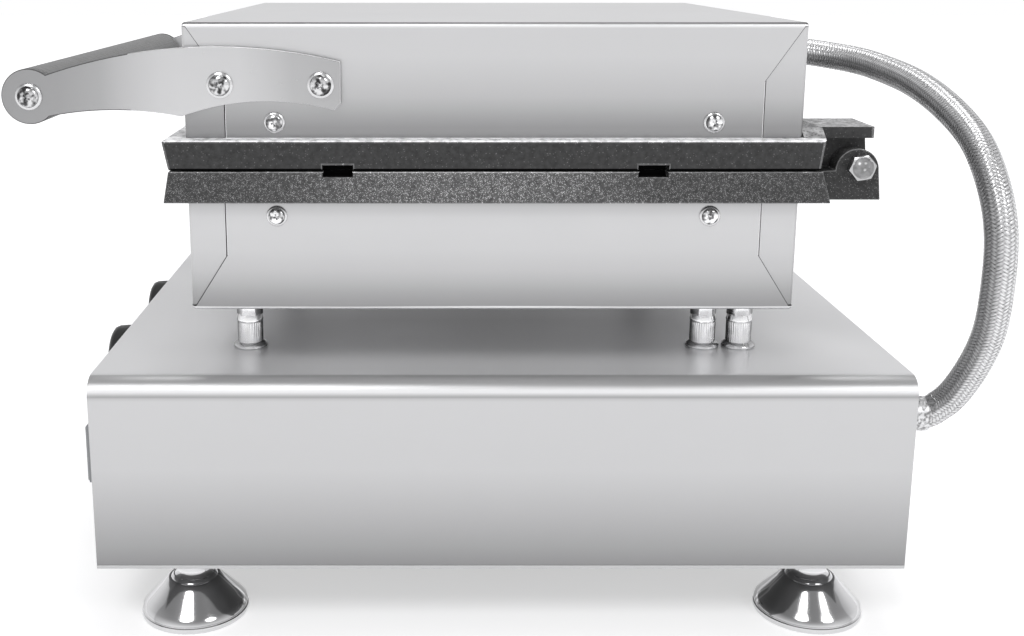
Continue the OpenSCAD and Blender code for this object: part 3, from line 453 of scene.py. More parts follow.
sheetGrain = {"scale": (2600, 160, 2600), "spread": 0.08, "bump": 0.03}  # drawn out along Y
evenGrain = {"scale": (900, 900, 900), "bump": 0.02}
patches = {"detail": 1.5, "places": (0.36, 0.44, 0.5, 0.58), "bump": 0.3, "metal": 0.9}
paintedSheen = {"span": {"Axis": (0, 1, 0), "From": -0.139, "To": 0.118, "Cloud": 0.1}, "gain": 2.0}
moulded = {"detail": 3.0, "darker": 0.9, "spread": 0.06}


# the tones paint light and shade along each panel: highlights and dark lines on the bends and folds, and
# shading that grows darker towards the far end
def sheetSteel(name, start, stop, tones, rough=0.34, metal=0.9, grain=sheetGrain["scale"],
               bump=sheetGrain["bump"], axis=(0, 0, 1)):  # tones run along the panel
    material, tree, shader = startMaterial(name, Metallic=metal)
    depth = addNode(tree, "ShaderNodeGroup", {"Axis": axis, "From": start, "To": stop}, node_tree=panelSpan)
    feed(tree, shader, {"Base Color": addRamp(tree, depth.outputs["Depth"], tones)})
    addGrain(tree, shader, grain, rough, sheetGrain["spread"], bump)
    return material


def plainMetal(name, tone, rough, spread=0.05, metal=1.0):
    material, tree, shader = startMaterial(name, Metallic=metal)
    feed(tree, shader, {"Base Color": grey(tone)})
    addGrain(tree, shader, evenGrain["scale"], rough, spread, evenGrain["bump"])
    return material


def mottledSteel(name, tones, rough=0.14, scale=430.0):  # light and dark patches in the colour; on the screw domes they are painted reflections
    material, tree, shader = startMaterial(name, Metallic=patches["metal"], Roughness=rough)
    noise = addNoise(tree, addSpot(tree), scale, patches["detail"])
    feed(tree, shader, {"Base Color": addRamp(tree, noise, list(zip(patches["places"], tones)))})
    addBump(tree, shader, noise, patches["bump"], 0.3 * mm)
    return material


def castMetal(name, body, fleck, share, scale=900.0, bump=0.35, reach=0.32, sheen=None):
    material, tree, shader = startMaterial(name, Metallic=0.15)
    skin = addNode(tree, "ShaderNodeGroup", {"Scale": scale, "Flecks": share, "Reach": reach,
                                             "Body": grey(body), "Fleck": grey(fleck)}, node_tree=castSkin)
    colour = skin.outputs["Color"]
    if sheen:  # painted sheen: the middle of a side is painted brighter than its ends
        along = addNode(tree, "ShaderNodeGroup", paintedSheen["span"], node_tree=panelSpan)
        gain = addMath(tree, "MULTIPLY", addRamp(tree, along.outputs["Depth"], sheen), paintedSheen["gain"])
        colour = addScaled(tree, colour, gain)
    feed(tree, shader, {"Base Color": colour, "Roughness": skin.outputs["Roughness"]})
    addBump(tree, shader, skin.outputs["Height"], bump, 0.3 * mm)
    return material


def plainPlastic(name, colour, rough, scale=1500, bump=0.1):
    material, tree, shader = startMaterial(name)
    noise = addNoise(tree, addSpot(tree), scale, moulded["detail"])
    darker, spread = [v * moulded["darker"] for v in colour], moulded["spread"]
    feed(tree, shader, {"Base Color": addMix(tree, noise, (*darker, 1), (*colour, 1)),
                        "Roughness": addRange(tree, noise, 0.0, 1.0, rough - spread, rough + spread)})
    addBump(tree, shader, noise, bump, 0.1 * mm)
    return material


armLow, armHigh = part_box("right_handle_arm")
baseLow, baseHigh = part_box("base_cover")
lowerLow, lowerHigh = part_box("lower_housing")
upperLow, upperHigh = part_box("upper_housing")
# painted light and shade: highlights and dark lines on the bends, each panel mostly darker lower down, the arm
# lighter in the middle, a lighter copy for the left arm, a painted shade for the underside and a painted sheen
# for the cast plates
tones = {  # place along the panel, tone
    "base": [(0, 0.895), (0.003, 0.5), (0.014, 0.458), (0.03, 0.448), (0.038, 0.46), (0.047, 0.66),
             (0.056, 0.93), (0.067, 0.93), (0.077, 0.68), (0.086, 0.45), (0.094, 0.37), (0.099, 0.5),
             (0.116, 0.591), (0.48, 0.579), (0.586, 0.533), (0.69, 0.482), (0.8, 0.424), (0.9, 0.367),
             (1, 0.292)],
    "lower": [(0, 0.378), (0.02, 0.396), (0.06, 0.472), (0.154, 0.549), (0.25, 0.549), (0.44, 0.531),
              (0.54, 0.501), (0.635, 0.472), (0.73, 0.418), (0.827, 0.348), (0.92, 0.295), (0.962, 0.277),
              (0.972, 0.84), (0.988, 0.84), (1, 0.45)],
    "upper": [(0, 0.6), (0.002, 0.13), (0.014, 0.13), (0.018, 0.968), (0.032, 0.968), (0.04, 0.702),
              (0.052, 0.575), (0.29, 0.563), (0.465, 0.513), (0.64, 0.455), (0.72, 0.399), (0.81, 0.334),
              (0.9, 0.276), (1, 0.272)],
    "panel": [(0, 0.6), (1, 0.4)],
    "under": [(0, 0.14), (1, 0.12)],
    "arm": [(0, 0.309), (0.17, 0.327), (0.29, 0.381), (0.35, 0.454), (0.41, 0.508), (0.47, 0.551),
            (0.53, 0.563), (0.7, 0.557), (0.76, 0.52), (0.82, 0.472), (0.86, 0.436), (1, 0.405)],
    "armLeftLit": [(0, 0.85), (0.5, 0.85), (1, 0.6)],
    "sheen": [(0, 0.35), (0.15, 0.43), (0.4, 0.86), (0.6, 0.8), (0.74, 0.42), (1, 0.34)],
}
armSheet = {"rough": 0.3, "bump": 0.004, "axis": (0, 1, 0), "grain": (900, 300, 900)}
sheen = tones["sheen"]
finish = {
    "base": sheetSteel("baseSheet", baseHigh.z, baseLow.z, tones["base"], metal=0.5),
    "lower": sheetSteel("lowerHousingSheet", lowerHigh.z, lowerLow.z, tones["lower"]),
    "upper": sheetSteel("upperHousingSheet", upperHigh.z, upperLow.z, tones["upper"]),
    "panel": sheetSteel("endPanelSheet", baseHigh.z, baseLow.z, tones["panel"]),
    "under": sheetSteel("underside", baseHigh.z, baseLow.z, tones["under"]),
    "arm": sheetSteel("armSteel", armLow.y, armHigh.y, tones["arm"], **armSheet),
    "armLeftLit": sheetSteel("armSteelLeftLit", armLow.y, armHigh.y, tones["armLeftLit"], **armSheet),
    "cut": plainMetal("cutEdge", 0.92, 0.3, metal=0.3),
    "dark": plainMetal("shadedEdge", 0.1, 0.4),
    "lip": plainMetal("underLipHighlight", 0.6, 0.35, metal=0.3),
    "paintedShade": plainMetal("deepShade", 0.006, 0.7, metal=0.0),
    "chrome": plainMetal("polishedChrome", 0.86, 0.08, 0.03),
    "bright": plainMetal("brightSteel", 0.85, 0.15, 0.06),
    "inner": plainMetal("innerSteel", 0.5, 0.4, 0.1),
    "screw": plainMetal("screwSteel", 0.66, 0.26, 0.06),
    "dome": mottledSteel("screwDome", (0.12, 0.3, 0.64, 0.95)),
    "armDome": mottledSteel("armScrewDome", (0.04, 0.12, 0.34, 0.66)),
    "bolt": plainMetal("boltSteel", 0.46, 0.26, 0.1),
    "dish": castMetal("boltDish", 0.3, 0.95, 0.22, 800, 0.5, reach=0.6),
    "fitting": mottledSteel("fittingSteel", (0.26, 0.42, 0.56, 0.76), 0.4, 700.0),
    # the cast plates: the upward faces of the upper plate's back and flange and the upper edge of the seam are
    # painted lighter, painted light on the dark cast iron
    "plate": castMetal("castPlate", 0.028, 0.14, 0.16, 1500, reach=0.4),
    "plateLow": castMetal("castPlateBright", 0.058, 0.36, 0.55, 2100, reach=0.55, sheen=sheen),
    "ear": castMetal("castEar", 0.024, 0.2, 0.3, 1900, reach=0.45),
    "worn": castMetal("castEdge", 0.14, 0.6, 0.5, 1100),
    "rim": castMetal("castRimHighlight", 0.3, 0.9, 0.5, 1300, reach=0.5, sheen=sheen),
    "castTopHighlight": castMetal("castTopHighlight", 0.98, 0.6, 0.3, 1100, 0.3),
    "flange": castMetal("castFlangeHighlight", 0.4, 0.14, 0.7, 900, 0.3, reach=0.6),
    "black": plainPlastic("blackPlastic", (0.022, 0.022, 0.022), 0.4),
    "mark": plainPlastic("knobMark", (0.75, 0.75, 0.73), 0.4),
    "ink": plainPlastic("dialInk", (0.02, 0.02, 0.02), 0.5),
    "ceramic": plainPlastic("whiteCeramic", (0.8, 0.79, 0.75), 0.3, 400, 0.02),
    "wool": plainPlastic("mineralWool", (0.75, 0.73, 0.66), 0.9, 600, 0.8),
    "green": plainPlastic("greenLens", (0.08, 0.4, 0.14), 0.15, 200, 0.02),
    "amber": plainPlastic("amberLens", (0.75, 0.25, 0.03), 0.15, 200, 0.02),
    "clear": plainPlastic("clearCover", (0.3, 0.31, 0.32), 0.3, 500, 0.02),
}
finish["paintedShade"].node_tree.nodes["Principled BSDF"].inputs["Specular IOR Level"].default_value = 0
print("finishes made")

# every carried-over node gets the finish of its slot
slotFinish = {"sheet_steel": "panel", "inner_steel": "inner", "chrome": "chrome", "cast_plate": "plate",
              "grip_plastic": "black", "black_plastic": "black", "clear_cover": "clear",
              "green_lens": "green", "amber_lens": "amber", "white_ceramic": "ceramic",
              "mineral_wool": "wool", "steel_braid": "bright"}
for entry in frame["record"]["subparts"]:
    for slot in nodes[entry["node"]].material_slots:
        slot.material = finish[slotFinish[entry["material_slot"]]]

# the base cover; its top has painted shade, darker deep under the housing, and is painted lighter near the
# edges
cover = {"bend": 8, "steps": 10, "sheet": 1.2, "edge": 0.25,
         "tone": (0.77, 0.77, 0.778), "rough": 0.36, "metal": 0.5, "across": (0.045, 0.112), "swing": 0.24,
         "middle": 0.003, "along": (0.108, 0.078)}


def topSheet():
    material, tree, shader = startMaterial("topSheet", Metallic=cover["metal"])
    split = addNode(tree, "ShaderNodeSeparateXYZ", {0: addSpot(tree)})
    across = addMath(tree, "ABSOLUTE", split.outputs["X"])
    deep = addRange(tree, across, *cover["across"], -cover["swing"], cover["swing"])
    along = addMath(tree, "ABSOLUTE", addMath(tree, "ADD", split.outputs["Y"], cover["middle"]))
    mask = addRange(tree, along, *cover["along"], interpolation_type="SMOOTHSTEP")
    gain = addMath(tree, "MULTIPLY_ADD", deep, mask, 1.0)
    feed(tree, shader, {"Base Color": addScaled(tree, cover["tone"], gain)})
    addGrain(tree, shader, sheetGrain["scale"], cover["rough"], sheetGrain["spread"], sheetGrain["bump"])
    return material


finish["top"] = topSheet()
obj = startBox("baseCover", baseLow, baseHigh)
dropFaces(obj, lambda c, n: n.z < -0.5 or abs(n.y) > 0.5)
pickEdges(obj, lambda a, b: min(a.z, b.z) > baseHigh.z - mm and abs(a.x - b.x) < mm)
bevelPicked(cover["bend"], cover["steps"])
thicken(obj, cover["sheet"])
roundEdges(obj, cover["edge"], 2, 50)
setFinishes(obj, "base", "top")
paintFaces(obj, lambda face: int(face.normal.z > 0.99 and face.center.z > baseHigh.z - 0.2 * mm))
finishPiece(obj, None, "base", ["base_cover"])
print("base cover done")

# the housings: folded boxes, whose long sides end in mitred flaps that stand behind a fine gap
housing = {"fold": 1.8, "steps": 5, "sheet": 1.0, "edge": 0.25, "mitre": 23, "step": 1.05, "gap": 0.42,
           "flap": {"upper": 16.0, "lower": 15.0}}


def foldedHousing(name, node, key, up):  # up: the closed side faces up
    low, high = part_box(node)
    closed, sign = (high.z, 1) if up else (low.z, -1)
    mitre, fold, gap = (housing[each] * mm for each in ("mitre", "fold", "gap"))
    flap = housing["flap"][key] * mm
    tiny = 0.02 * mm
    obj = startBox(name, low, high)
    dropFaces(obj, lambda c, n: n.z * sign < -0.5)
    pickEdges(obj, lambda a, b: max(abs(a.z - closed), abs(b.z - closed)) < tiny or abs(a.z - b.z) > mm)
    bevelPicked(housing["fold"], housing["steps"])
    for end, edge in ((-1, low.y), (1, high.y)):
        for shift in (0, end * gap):
            for point, slope in (((0, edge + shift, closed), (0, mitre, -end * flap * sign)),
                                 ((0, edge - end * flap + shift, closed), (0, 1, 0))):
                pickFaces(obj, lambda c, n: abs(c.x) > high.x - fold)
                bpy.ops.mesh.bisect(plane_co=point, plane_no=slope)
                leaveEdit()

    def isFlap(c, short=0):
        inward = min(c.y - low.y, high.y - c.y)
        down = (closed - c.z) * sign
        reach = flap * min(down / mitre, 1) - short - tiny
        return abs(c.x) > high.x - fold and down > fold and inward < reach

    dropFaces(obj, lambda c, n: isFlap(c) and not isFlap(c, gap))
    beside = {}
    for face in obj.data.polygons:
        for pair in face.edge_keys:
            beside.setdefault(pair, []).append(isFlap(face.center))
    clearPicks(obj)
    for edge in obj.data.edges:
        a, b = (obj.data.vertices[v].co for v in edge.vertices)
        endWall = max(abs(a.x), abs(b.x)) < high.x - fold + tiny
        edge.select = len(set(beside[edge.key])) == 2 and not endWall
    editMode(obj, "EDGE")
    bpy.ops.mesh.edge_split(type="EDGE")
    leaveEdit()
    for side in (-1, 1):
        pickFaces(obj, lambda c, n: isFlap(c) and c.x * side > 0)
        bpy.ops.transform.translate(value=(-side * housing["step"] * mm, 0, 0))
        leaveEdit()
    thicken(obj, housing["sheet"])
    setFinishes(obj, key, "cut", "dark")
    roundEdges(obj, housing["edge"], 2, 50, 1)
    # the seam edges on the sides keep a painted highlight; those along the mitres get a dark line, a painted
    # shade
    for face in obj.data.polygons:
        if face.material_index == 1 and abs(face.center.x) < high.x - housing["edge"] * 2 * mm:
            face.material_index = 0
        elif face.material_index == 1 and abs(face.center.z - closed) < mitre:
            face.material_index = 2
    return obj


for name, node, key, up, body in (("lowerHousing", "lower_housing", "lower", False, "base"),
                                  ("upperHousing", "upper_housing", "upper", True, "lid")):
    obj = foldedHousing(name, node, key, up)
    finishPiece(obj, None, body, [node])
print("housings done")

# the baking plates: cast, with only their outer edges rounded and worn
plate = {"edge": {"lower_plate": 0.8, "upper_plate": 0.95}, "steps": 3, "sharp": 28,
         "rim": {"side": 121.5, "rear": 110, "front": -135}, "seam": 191.2, "lip": 1.5, "lipRear": 119,
         "ears": 118.5, "back": 203, "flange": 205,
         "notch": {"x": (118, 123.5), "middle": -10.95, "apart": 61, "reach": 5.6, "height": 2.3},
         "wedge": {"x": (83.9, 112.1), "y": (109.4, 113.4), "z": (203.42, 208), "slope": 4.6},
         "tab": {"bevel": 1.3, "steps": 4, "x": (111.9, 112.1), "rear": 118.3, "above": 202,
                 "top": 206.9, "tail": 139},
         "trimReach": {"across": 5, "round": 0.3},
         "trims": {"upper_plate": ((125.5, 118.1, 203.4, -2.1), (123.6, 116.1, 191.4, -0.9)),
                   "lower_plate": ((125.5, 118.1, 179, 1.1), (113.2, 143.2, 179, -2.4),
                                   (79.5, 143.2, 179, -2.4))}}


def shapeEars(obj):  # the upper plate's ears: a sloping front, and rounded outer edges
    wedge, tab = plate["wedge"], plate["tab"]
    (frontY, rearY), (lowZ, highZ) = wedge["y"], wedge["z"]
    for side in (-1, 1):
        near, far = sorted(side * x * mm for x in wedge["x"])
        tool = startBox("wedge", (near, frontY * mm, lowZ * mm), (far, rearY * mm, highZ * mm))
        pickEdges(tool, lambda a, b: min(a.y, b.y) > (rearY - 0.4) * mm and min(a.z, b.z) > (highZ - 1) * mm)
        bpy.ops.transform.translate(value=(0, wedge["slope"] * mm, 0))
        leaveEdit()
        cutAway(obj, tool)

    def isOuter(a, b):
        inX = all(tab["x"][0] * mm < abs(v.x) < tab["x"][1] * mm for v in (a, b))
        y, z = min(a.y, b.y), min(a.z, b.z)
        return (inX and y > tab["rear"] * mm and z > tab["above"] * mm
                and (z > tab["top"] * mm or y > tab["tail"] * mm))

    pickEdges(obj, isOuter)
    bevelPicked(tab["bevel"], tab["steps"], clamp_overlap=True, material=1)


def trimCorners(obj, corners):  # x, y and z of a corner, and how far it moves along Y
    reach = plate["trimReach"]
    for point in obj.data.vertices:
        for x, y, z, move in corners:
            near = (point.co.yz - Vector((y, z)) * mm).length < reach["round"] * mm
            if near and abs(abs(point.co.x) - x * mm) < reach["across"] * mm:
                point.co.y += move * mm


def roundRim(obj, isRim, width):  # rounds only the outer edges, with the worn finish
    mesh = obj.data
    normals = {}
    for face in mesh.polygons:
        for key in face.edge_keys:
            normals.setdefault(key, []).append(face.normal.copy())
    clearPicks(obj)
    for edge in mesh.edges:
        sides = normals.get(edge.key, [])
        a, b = (mesh.vertices[v].co for v in edge.vertices)
        if len(sides) == 2 and isRim(a) and isRim(b):
            edge.select = math.degrees(sides[0].angle(sides[1], 0)) > plate["sharp"]
    editMode(obj, "EDGE")
    bevelPicked(width, plate["steps"], clamp_overlap=True, material=1)


def isNotch(c):  # inside one of the pry notches
    notch = plate["notch"]
    along = abs(abs(c.y / mm - notch["middle"]) - notch["apart"])
    return (notch["x"][0] < abs(c.x / mm) < notch["x"][1] and along < notch["reach"]
            and abs(c.z / mm - plate["seam"]) < notch["height"])


def plateFinish(face, upper):  # the place of a face's finish, from where it lies: faces turned up get painted light, the upper edge of the seam a painted highlight, the seam groove and the notches a painted shade
    skin, worn, back, flange, ear, rim, paintedShade = range(7)
    now, c, up = face.material_index, face.center, face.normal.z
    # the notches and the seam groove get a painted shade
    if isNotch(c):
        return paintedShade
    if now == skin and upper and up > 0.6 and c.z > plate["back"] * mm:
        return flange if c.z > plate["flange"] * mm else back
    if now == skin and not upper and c.y > plate["ears"] * mm:
        return ear
    if now == worn and abs(c.z - plate["seam"] * mm) < plate["lip"] * mm and c.y < plate["lipRear"] * mm:
        return rim if up > 0.2 else paintedShade
    if now == worn and up > 0.35 and plate["back"] * mm < c.z < plate["flange"] * mm:
        return back
    return now


for name, node, key, body in (("lowerPlate", "lower_plate", "plateLow", "base"),
                              ("upperPlate", "upper_plate", "plate", "lid")):
    obj = copyOfNode(name, node)
    setFinishes(obj, key, "worn", "castTopHighlight", "flange", "ear", "rim", "paintedShade")
    paintFaces(obj, lambda face: 0)
    isUpper = node == "upper_plate"
    if isUpper:
        shapeEars(obj)
    trimCorners(obj, plate["trims"][node])
    edges = plate["rim"]
    roundRim(obj, lambda c: (abs(c.x) > edges["side"] * mm or c.y < edges["front"] * mm
                             or (c.y > edges["rear"] * mm and not isUpper)), plate["edge"][node])
    paintFaces(obj, lambda face: plateFinish(face, isUpper))
    finishPiece(obj, None, body, [node])
print("plates done")

# the handle: two sheet arms and a hatched plastic grip
handle = {"edge": 0.35, "grip": 21.2, "cap": 3.4, "steps": 72, "rings": 6, "bright": -128, "dark": -150,
          "tone": (0.17, 0.17, 0.17), "rough": 0.5, "swing": 0.08, "turns": (0.7, -0.7),
          "hatch": {"Scale": 260, "Distortion": 1.5, "Detail": 1.0}, "dust": (350.0, 4.0), "dustShare": 0.8,
          "tint": (0.2, 1.0, 0.72, 1.1)}


def hatchedPlastic():  # fine crossed hatch with a little dust
    material, tree, shader = startMaterial("gripPlastic")
    spot = addSpot(tree)
    lines = [addNode(tree, "ShaderNodeTexWave", {"Vector": addTurned(tree, spot, (0, 0, turn)),
                                                 **handle["hatch"]}).outputs[1] for turn in handle["turns"]]
    hatch = addMath(tree, "MULTIPLY", *lines)
    mixed = addMath(tree, "MULTIPLY_ADD", addNoise(tree, spot, *handle["dust"]), handle["dustShare"], hatch)
    tint = addRange(tree, mixed, *handle["tint"])
    dull, shiny = handle["rough"] + handle["swing"], handle["rough"] - handle["swing"]
    feed(tree, shader, {"Base Color": addScaled(tree, handle["tone"], tint),
                        "Roughness": addRange(tree, mixed, 0.0, 1.0, dull, shiny)})
    addBump(tree, shader, mixed, 0.25, 0.2 * mm)
    return material


def armFinish(face):  # light edges at the rear are a painted highlight, shaded ones in front a painted shade; faces towards -X take the right arm's finish
    side, y = face.normal.x, face.center.y
    if side < -0.95:
        return 3
    if abs(side) < 0.85 and y > handle["bright"] * mm:
        return 1
    return 2 if abs(side) < 0.95 and y < handle["dark"] * mm else 0


for side in ("left", "right"):
    obj = copyOfNode(side + "Arm", side + "_handle_arm")
    roundEdges(obj, handle["edge"], 2, 50)
    # the left arm takes a lighter copy of the arm's tones, painted light on its inner face
    setFinishes(obj, "arm" if side == "right" else "armLeftLit", "cut", "dark", "arm")
    paintFaces(obj, armFinish)
    finishPiece(obj, None, "lid", [side + "_handle_arm"])
gripMiddle, gripEnd = boxMiddle("grip"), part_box("grip")[1].x / mm
gripR, cap = handle["grip"] / 2, handle["cap"]
corner = [(gripR - cap + cap * math.sin(a), gripEnd - cap + cap * math.cos(a))
          for a in [math.radians(v) for v in range(0, 91, 18)]]
rings = range(handle["rings"] - 1, -handle["rings"], -1)
profile = [(0, gripEnd)] + corner + [(gripR, gripEnd * k / handle["rings"]) for k in rings]
profile += [(r, -h) for r, h in reversed(corner)] + [(0, -gripEnd)]
obj = startTurned("grip", profile, handle["steps"])
obj.rotation_euler = (0, math.radians(90), 0)
obj.location = (0, gripMiddle.y * mm, gripMiddle.z * mm)
finishPiece(obj, hatchedPlastic(), "lid", ["grip"])
print("handle done")

# screws with a cross recess; sizes are in shares of the thread
screw = {"steps": 48, "head": 2.05, "height": 0.62, "cross": 0.78, "slot": 0.2, "depth": 0.42, "shank": 0.3,
         "ring": 0.8, "rise": 0.42, "point": (0.4, 0.5, 1), "skin": 0.12,
         "skirt": [(0.98, 0), (1, 0.06), (1, 0.2), (0.97, 0.27), (0.86, 0.37), (0.81, 0.4)]}


def makeScrewHead(name, d):  # head on Z = 0, M size d
    r, h = d * screw["head"] / 2, d * screw["height"]
    ring, foot = screw["ring"] * r, h * screw["rise"]
    angles = [math.radians(v) for v in range(8, 79, 10)]
    dome = [(ring * math.cos(a), foot + (h - foot) * math.sin(a)) for a in angles]
    shank = [(0, -d * screw["shank"]), (d / 2, -d * screw["shank"]), (d / 2, 0)]
    skirt = [(r * out, h * up) for out, up in screw["skirt"]]
    obj = startTurned(name, shank + skirt + dome + [(0, h)], screw["steps"])
    long, wide, deep = d * screw["cross"] / 2, d * screw["slot"] / 2, d * screw["depth"]
    for turn in (45, 135):
        bar = startBox("recess", (-long * mm, -wide * mm, (h - deep) * mm),
                       (long * mm, wide * mm, (h + 1) * mm))
        pickFaces(bar, lambda c, n: n.z < -0.5)
        bpy.ops.transform.resize(value=screw["point"])
        leaveEdit()
        bar.rotation_euler = (0, 0, math.radians(turn))
        cutAway(obj, settle(bar))
    # the domes get painted reflections, light and dark patches; the M5 heads on the arm and grip take a darker
    # copy, a painted shade
    setFinishes(obj, "screw", "dome" if d < 5 else "armDome")

    def isDome(face):
        out = face.center.xy.length / mm
        curve = foot + (h - foot) * math.sqrt(max(0, 1 - (out / ring) ** 2))
        return int(out < ring and face.center.z / mm > curve - screw["skin"])

    paintFaces(obj, isDome)
    return obj


def placeHeads(name, node, d, places, body, turns):  # places: x, y, z in mm, facing +-X
    master = makeScrewHead(name + "Master", d)
    copies = []
    for count, (x, y, z) in enumerate(places):
        spun = copyTo(master, turn=(0, 0, turns[count % len(turns)]))
        copies.append(copyTo(spun, (x, y, z), (0, 90 if x > 0 else -90, 0)))
        bpy.data.objects.remove(spun)
    bpy.data.objects.remove(master)
    finishPiece(joinUp(name, copies), None, body, [node])


def sidePlaces(node, d):  # the heads' places on both sides, from the box of the screws' node
    low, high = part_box(node)
    r, x = d * screw["head"] / 2, high.x / mm - d * screw["height"]
    rows = sorted({round(low.y / mm + r, 3), round(high.y / mm - r, 3)})
    return [(side * x, y, (low.z + high.z) / 2 / mm) for side in (-1, 1) for y in rows]


placeHeads("lowerHousingScrews", "lower_housing_screws", 4, sidePlaces("lower_housing_screws", 4), "base",
           (10, 35, 60, 20))
placeHeads("upperHousingScrews", "upper_housing_screws", 4, sidePlaces("upper_housing_screws", 4), "lid",
           (10, 35, 60, 20))
placeHeads("armScrews", "arm_screws", 5, sidePlaces("arm_screws", 5), "lid", (15, 45, 70, 0))
x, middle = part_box("grip_screws")[1].x / mm - 5 * screw["height"], boxMiddle("grip_screws")
placeHeads("gripScrews", "grip_screws", 5, [(side * x, middle.y, middle.z) for side in (-1, 1)], "lid",
           (30, 12))
print("screws done")

# bell feet, polished: painted reflections in the colour, light on the outer part and dark on the inner one,
# with a light rim and neck
foot = {"steps": 96, "neck": 28,
        "outside": [(20.9, 0), (21.9, 0.05), (22.3, 0.35), (22.49, 0.9), (22.49, 1.7), (22.3, 2.3),
                    (21.9, 2.6), (21.85, 2.9), (22.05, 3.3), (21.8, 4.2), (20.5, 5.8), (18.8, 7.6),
                    (16.7, 9.8), (14.7, 12.0), (12.8, 14.0), (11.0, 15.9), (10.4, 16.2), (9.8, 16.2),
                    (9.5, 16.6), (8.7, 17.3), (8.2, 17.4), (7.9, 17.7), (7.0, 18.6), (6.6, 19.4),
                    (6.5, 20.4), (6.5, 26.0), (7.2, 26.1), (8.0, 26.4), (8.0, 28.0)],
        "inside": [(4.2, 28), (4.2, 13), (9, 13), (13.5, 8.2), (17.6, 4), (20.0, 1.2), (20.9, 0)],
        "paintedReflection": [(0, 0.62), (0.31, 0.62), (0.325, 0.46), (0.45, 0.7), (0.6, 0.6), (0.75, 0.5),
                   (0.93, 0.4), (0.94, 0.8), (0.96, 0.3), (1, 0.3)],
        "band": [(0, 0), (0.088, 0), (0.094, 1), (0.64, 1), (0.68, 0), (1, 0)], "tone": 0.7,
        "rough": 0.12, "cloud": (75.0, 2.0), "wander": 0.12, "spread": 0.9}


def footSteel():
    material, tree, shader = startMaterial("footChrome", Metallic=1.0, Roughness=foot["rough"])
    spot = addSpot(tree)
    wide = addMath(tree, "MULTIPLY", addStored(tree, "sweep"), foot["spread"])
    wander = addMath(tree, "MULTIPLY_ADD", addNoise(tree, spot, *foot["cloud"]), foot["wander"], wide)
    paintedReflection = addRamp(tree, wander, foot["paintedReflection"])
    split = addNode(tree, "ShaderNodeSeparateXYZ", {0: spot})
    band = addRamp(tree, addRange(tree, split.outputs["Z"], 0.0, foot["neck"] * mm), foot["band"])
    feed(tree, shader, {"Base Color": addMix(tree, band, grey(foot["tone"]), paintedReflection)})
    return material


finish["foot"] = footSteel()
master = startTurned("footMaster", foot["outside"] + foot["inside"], foot["steps"])
for name, node in (("footFrontLeft", "foot_front_left"), ("footFrontRight", "foot_front_right"),
                   ("footRearLeft", "foot_rear_left"), ("footRearRight", "foot_rear_right")):
    middle = boxMiddle(node)
    obj = copyTo(master, (middle.x, middle.y, 0))
    obj.name = name
    outward = -1 if middle.y < 0 else 1
    away = [v.co.xy - middle.xy * mm for v in obj.data.vertices]
    storeValues(obj, "sweep", [math.atan2(abs(v.x), v.y * outward) / math.pi for v in away])
    finishPiece(obj, finish["foot"], "base", [node], angle=28, weigh=False)
bpy.data.objects.remove(master)
print("feet done")

# legs and wiring tube; polished, with painted reflections: bright towards the sides of the machine, darker to
# front and rear
leg = {"low": 109, "high": 134.5, "bore": 2.55, "tubeBore": 3.5, "spread": 7.1,
       "flange": [(6.6, 0), (7.1, 0.3), (7.1, 1.1), (6.7, 1.7), (6.0, 2.2), (5.3, 2.5)],
       "body": [(5.4, 3.1), (5.4, 11.2)], "top": 15.3,
       "cone": [(5.55, 11.7), (5.6, 12.1), (5.5, 12.5), (4.9, 14.8), (4.6, 15.3)],
       "knurls": 36, "knurl": 0.22, "knurled": (3.0, 11.3, 5.2), "skin": 5.35,
       "hex": {"across": 11.3, "low": 14.2, "edge": 0.35, "hollow": 9},
       "tones": [(0, 0.1), (0.3, 0.22), (0.55, 0.62), (0.8, 0.9), (1, 1)],
       "metal": 0.9, "rough": 0.16, "cloud": (260.0, 2.0), "uneven": 0.5, "bump": 0.1}


def legSteel():
    material, tree, shader = startMaterial("legSteel", Metallic=leg["metal"], Roughness=leg["rough"])
    cloud = addNoise(tree, addSpot(tree), *leg["cloud"])
    uneven = addMath(tree, "MULTIPLY_ADD", cloud, leg["uneven"], -leg["uneven"] / 2)
    total = addMath(tree, "ADD", addStored(tree, "facing"), uneven)
    feed(tree, shader, {"Base Color": addRamp(tree, total, leg["tones"])})
    addBump(tree, shader, cloud, leg["bump"], 0.2 * mm)
    return material


def makeLeg(name, bore):
    height = leg["high"] - leg["low"]
    wall = [(bore, 0)] + leg["flange"] + leg["body"] + leg["cone"] + [(bore, leg["top"]), (bore, 0)]
    body = startTurned(name, wall, leg["knurls"] * 2)
    bottom, top, least = leg["knurled"]
    for v in body.data.vertices:  # every other line of points sinks a little
        turn = math.atan2(v.co.y, v.co.x) / (2 * math.pi) * leg["knurls"]
        isSkin = bottom * mm < v.co.z < top * mm and v.co.xy.length > least * mm
        if isSkin and abs(turn - round(turn)) < 0.1:
            v.co.xy *= 1 - leg["knurl"] / leg["skin"]
    hexPart = startHex(name + "Hex", leg["hex"]["across"], leg["hex"]["low"], height)
    roundEdges(hexPart, leg["hex"]["edge"], 3, 30)
    hollow = leg["hex"]["hollow"]
    cutAway(hexPart, startTurned("bore", [(0, hollow), (bore, hollow), (bore, height + 1),
                                          (0, height + 1)], 32))
    return joinUp(name, [body, hexPart])


def finishLeg(obj, middles, node):  # stores how far each point faces the machine's side, which sets the painted reflections
    facing = []
    for point in obj.data.vertices:
        nearest = min(middles, key=lambda m: (point.co.xy - Vector(m)).length)
        out = point.co.xy - Vector(nearest)
        facing.append(abs(out.x) / max(out.length, mm))
    storeValues(obj, "facing", facing)
    finishPiece(obj, finish["leg"], "base", [node], angle=25, weigh=False)


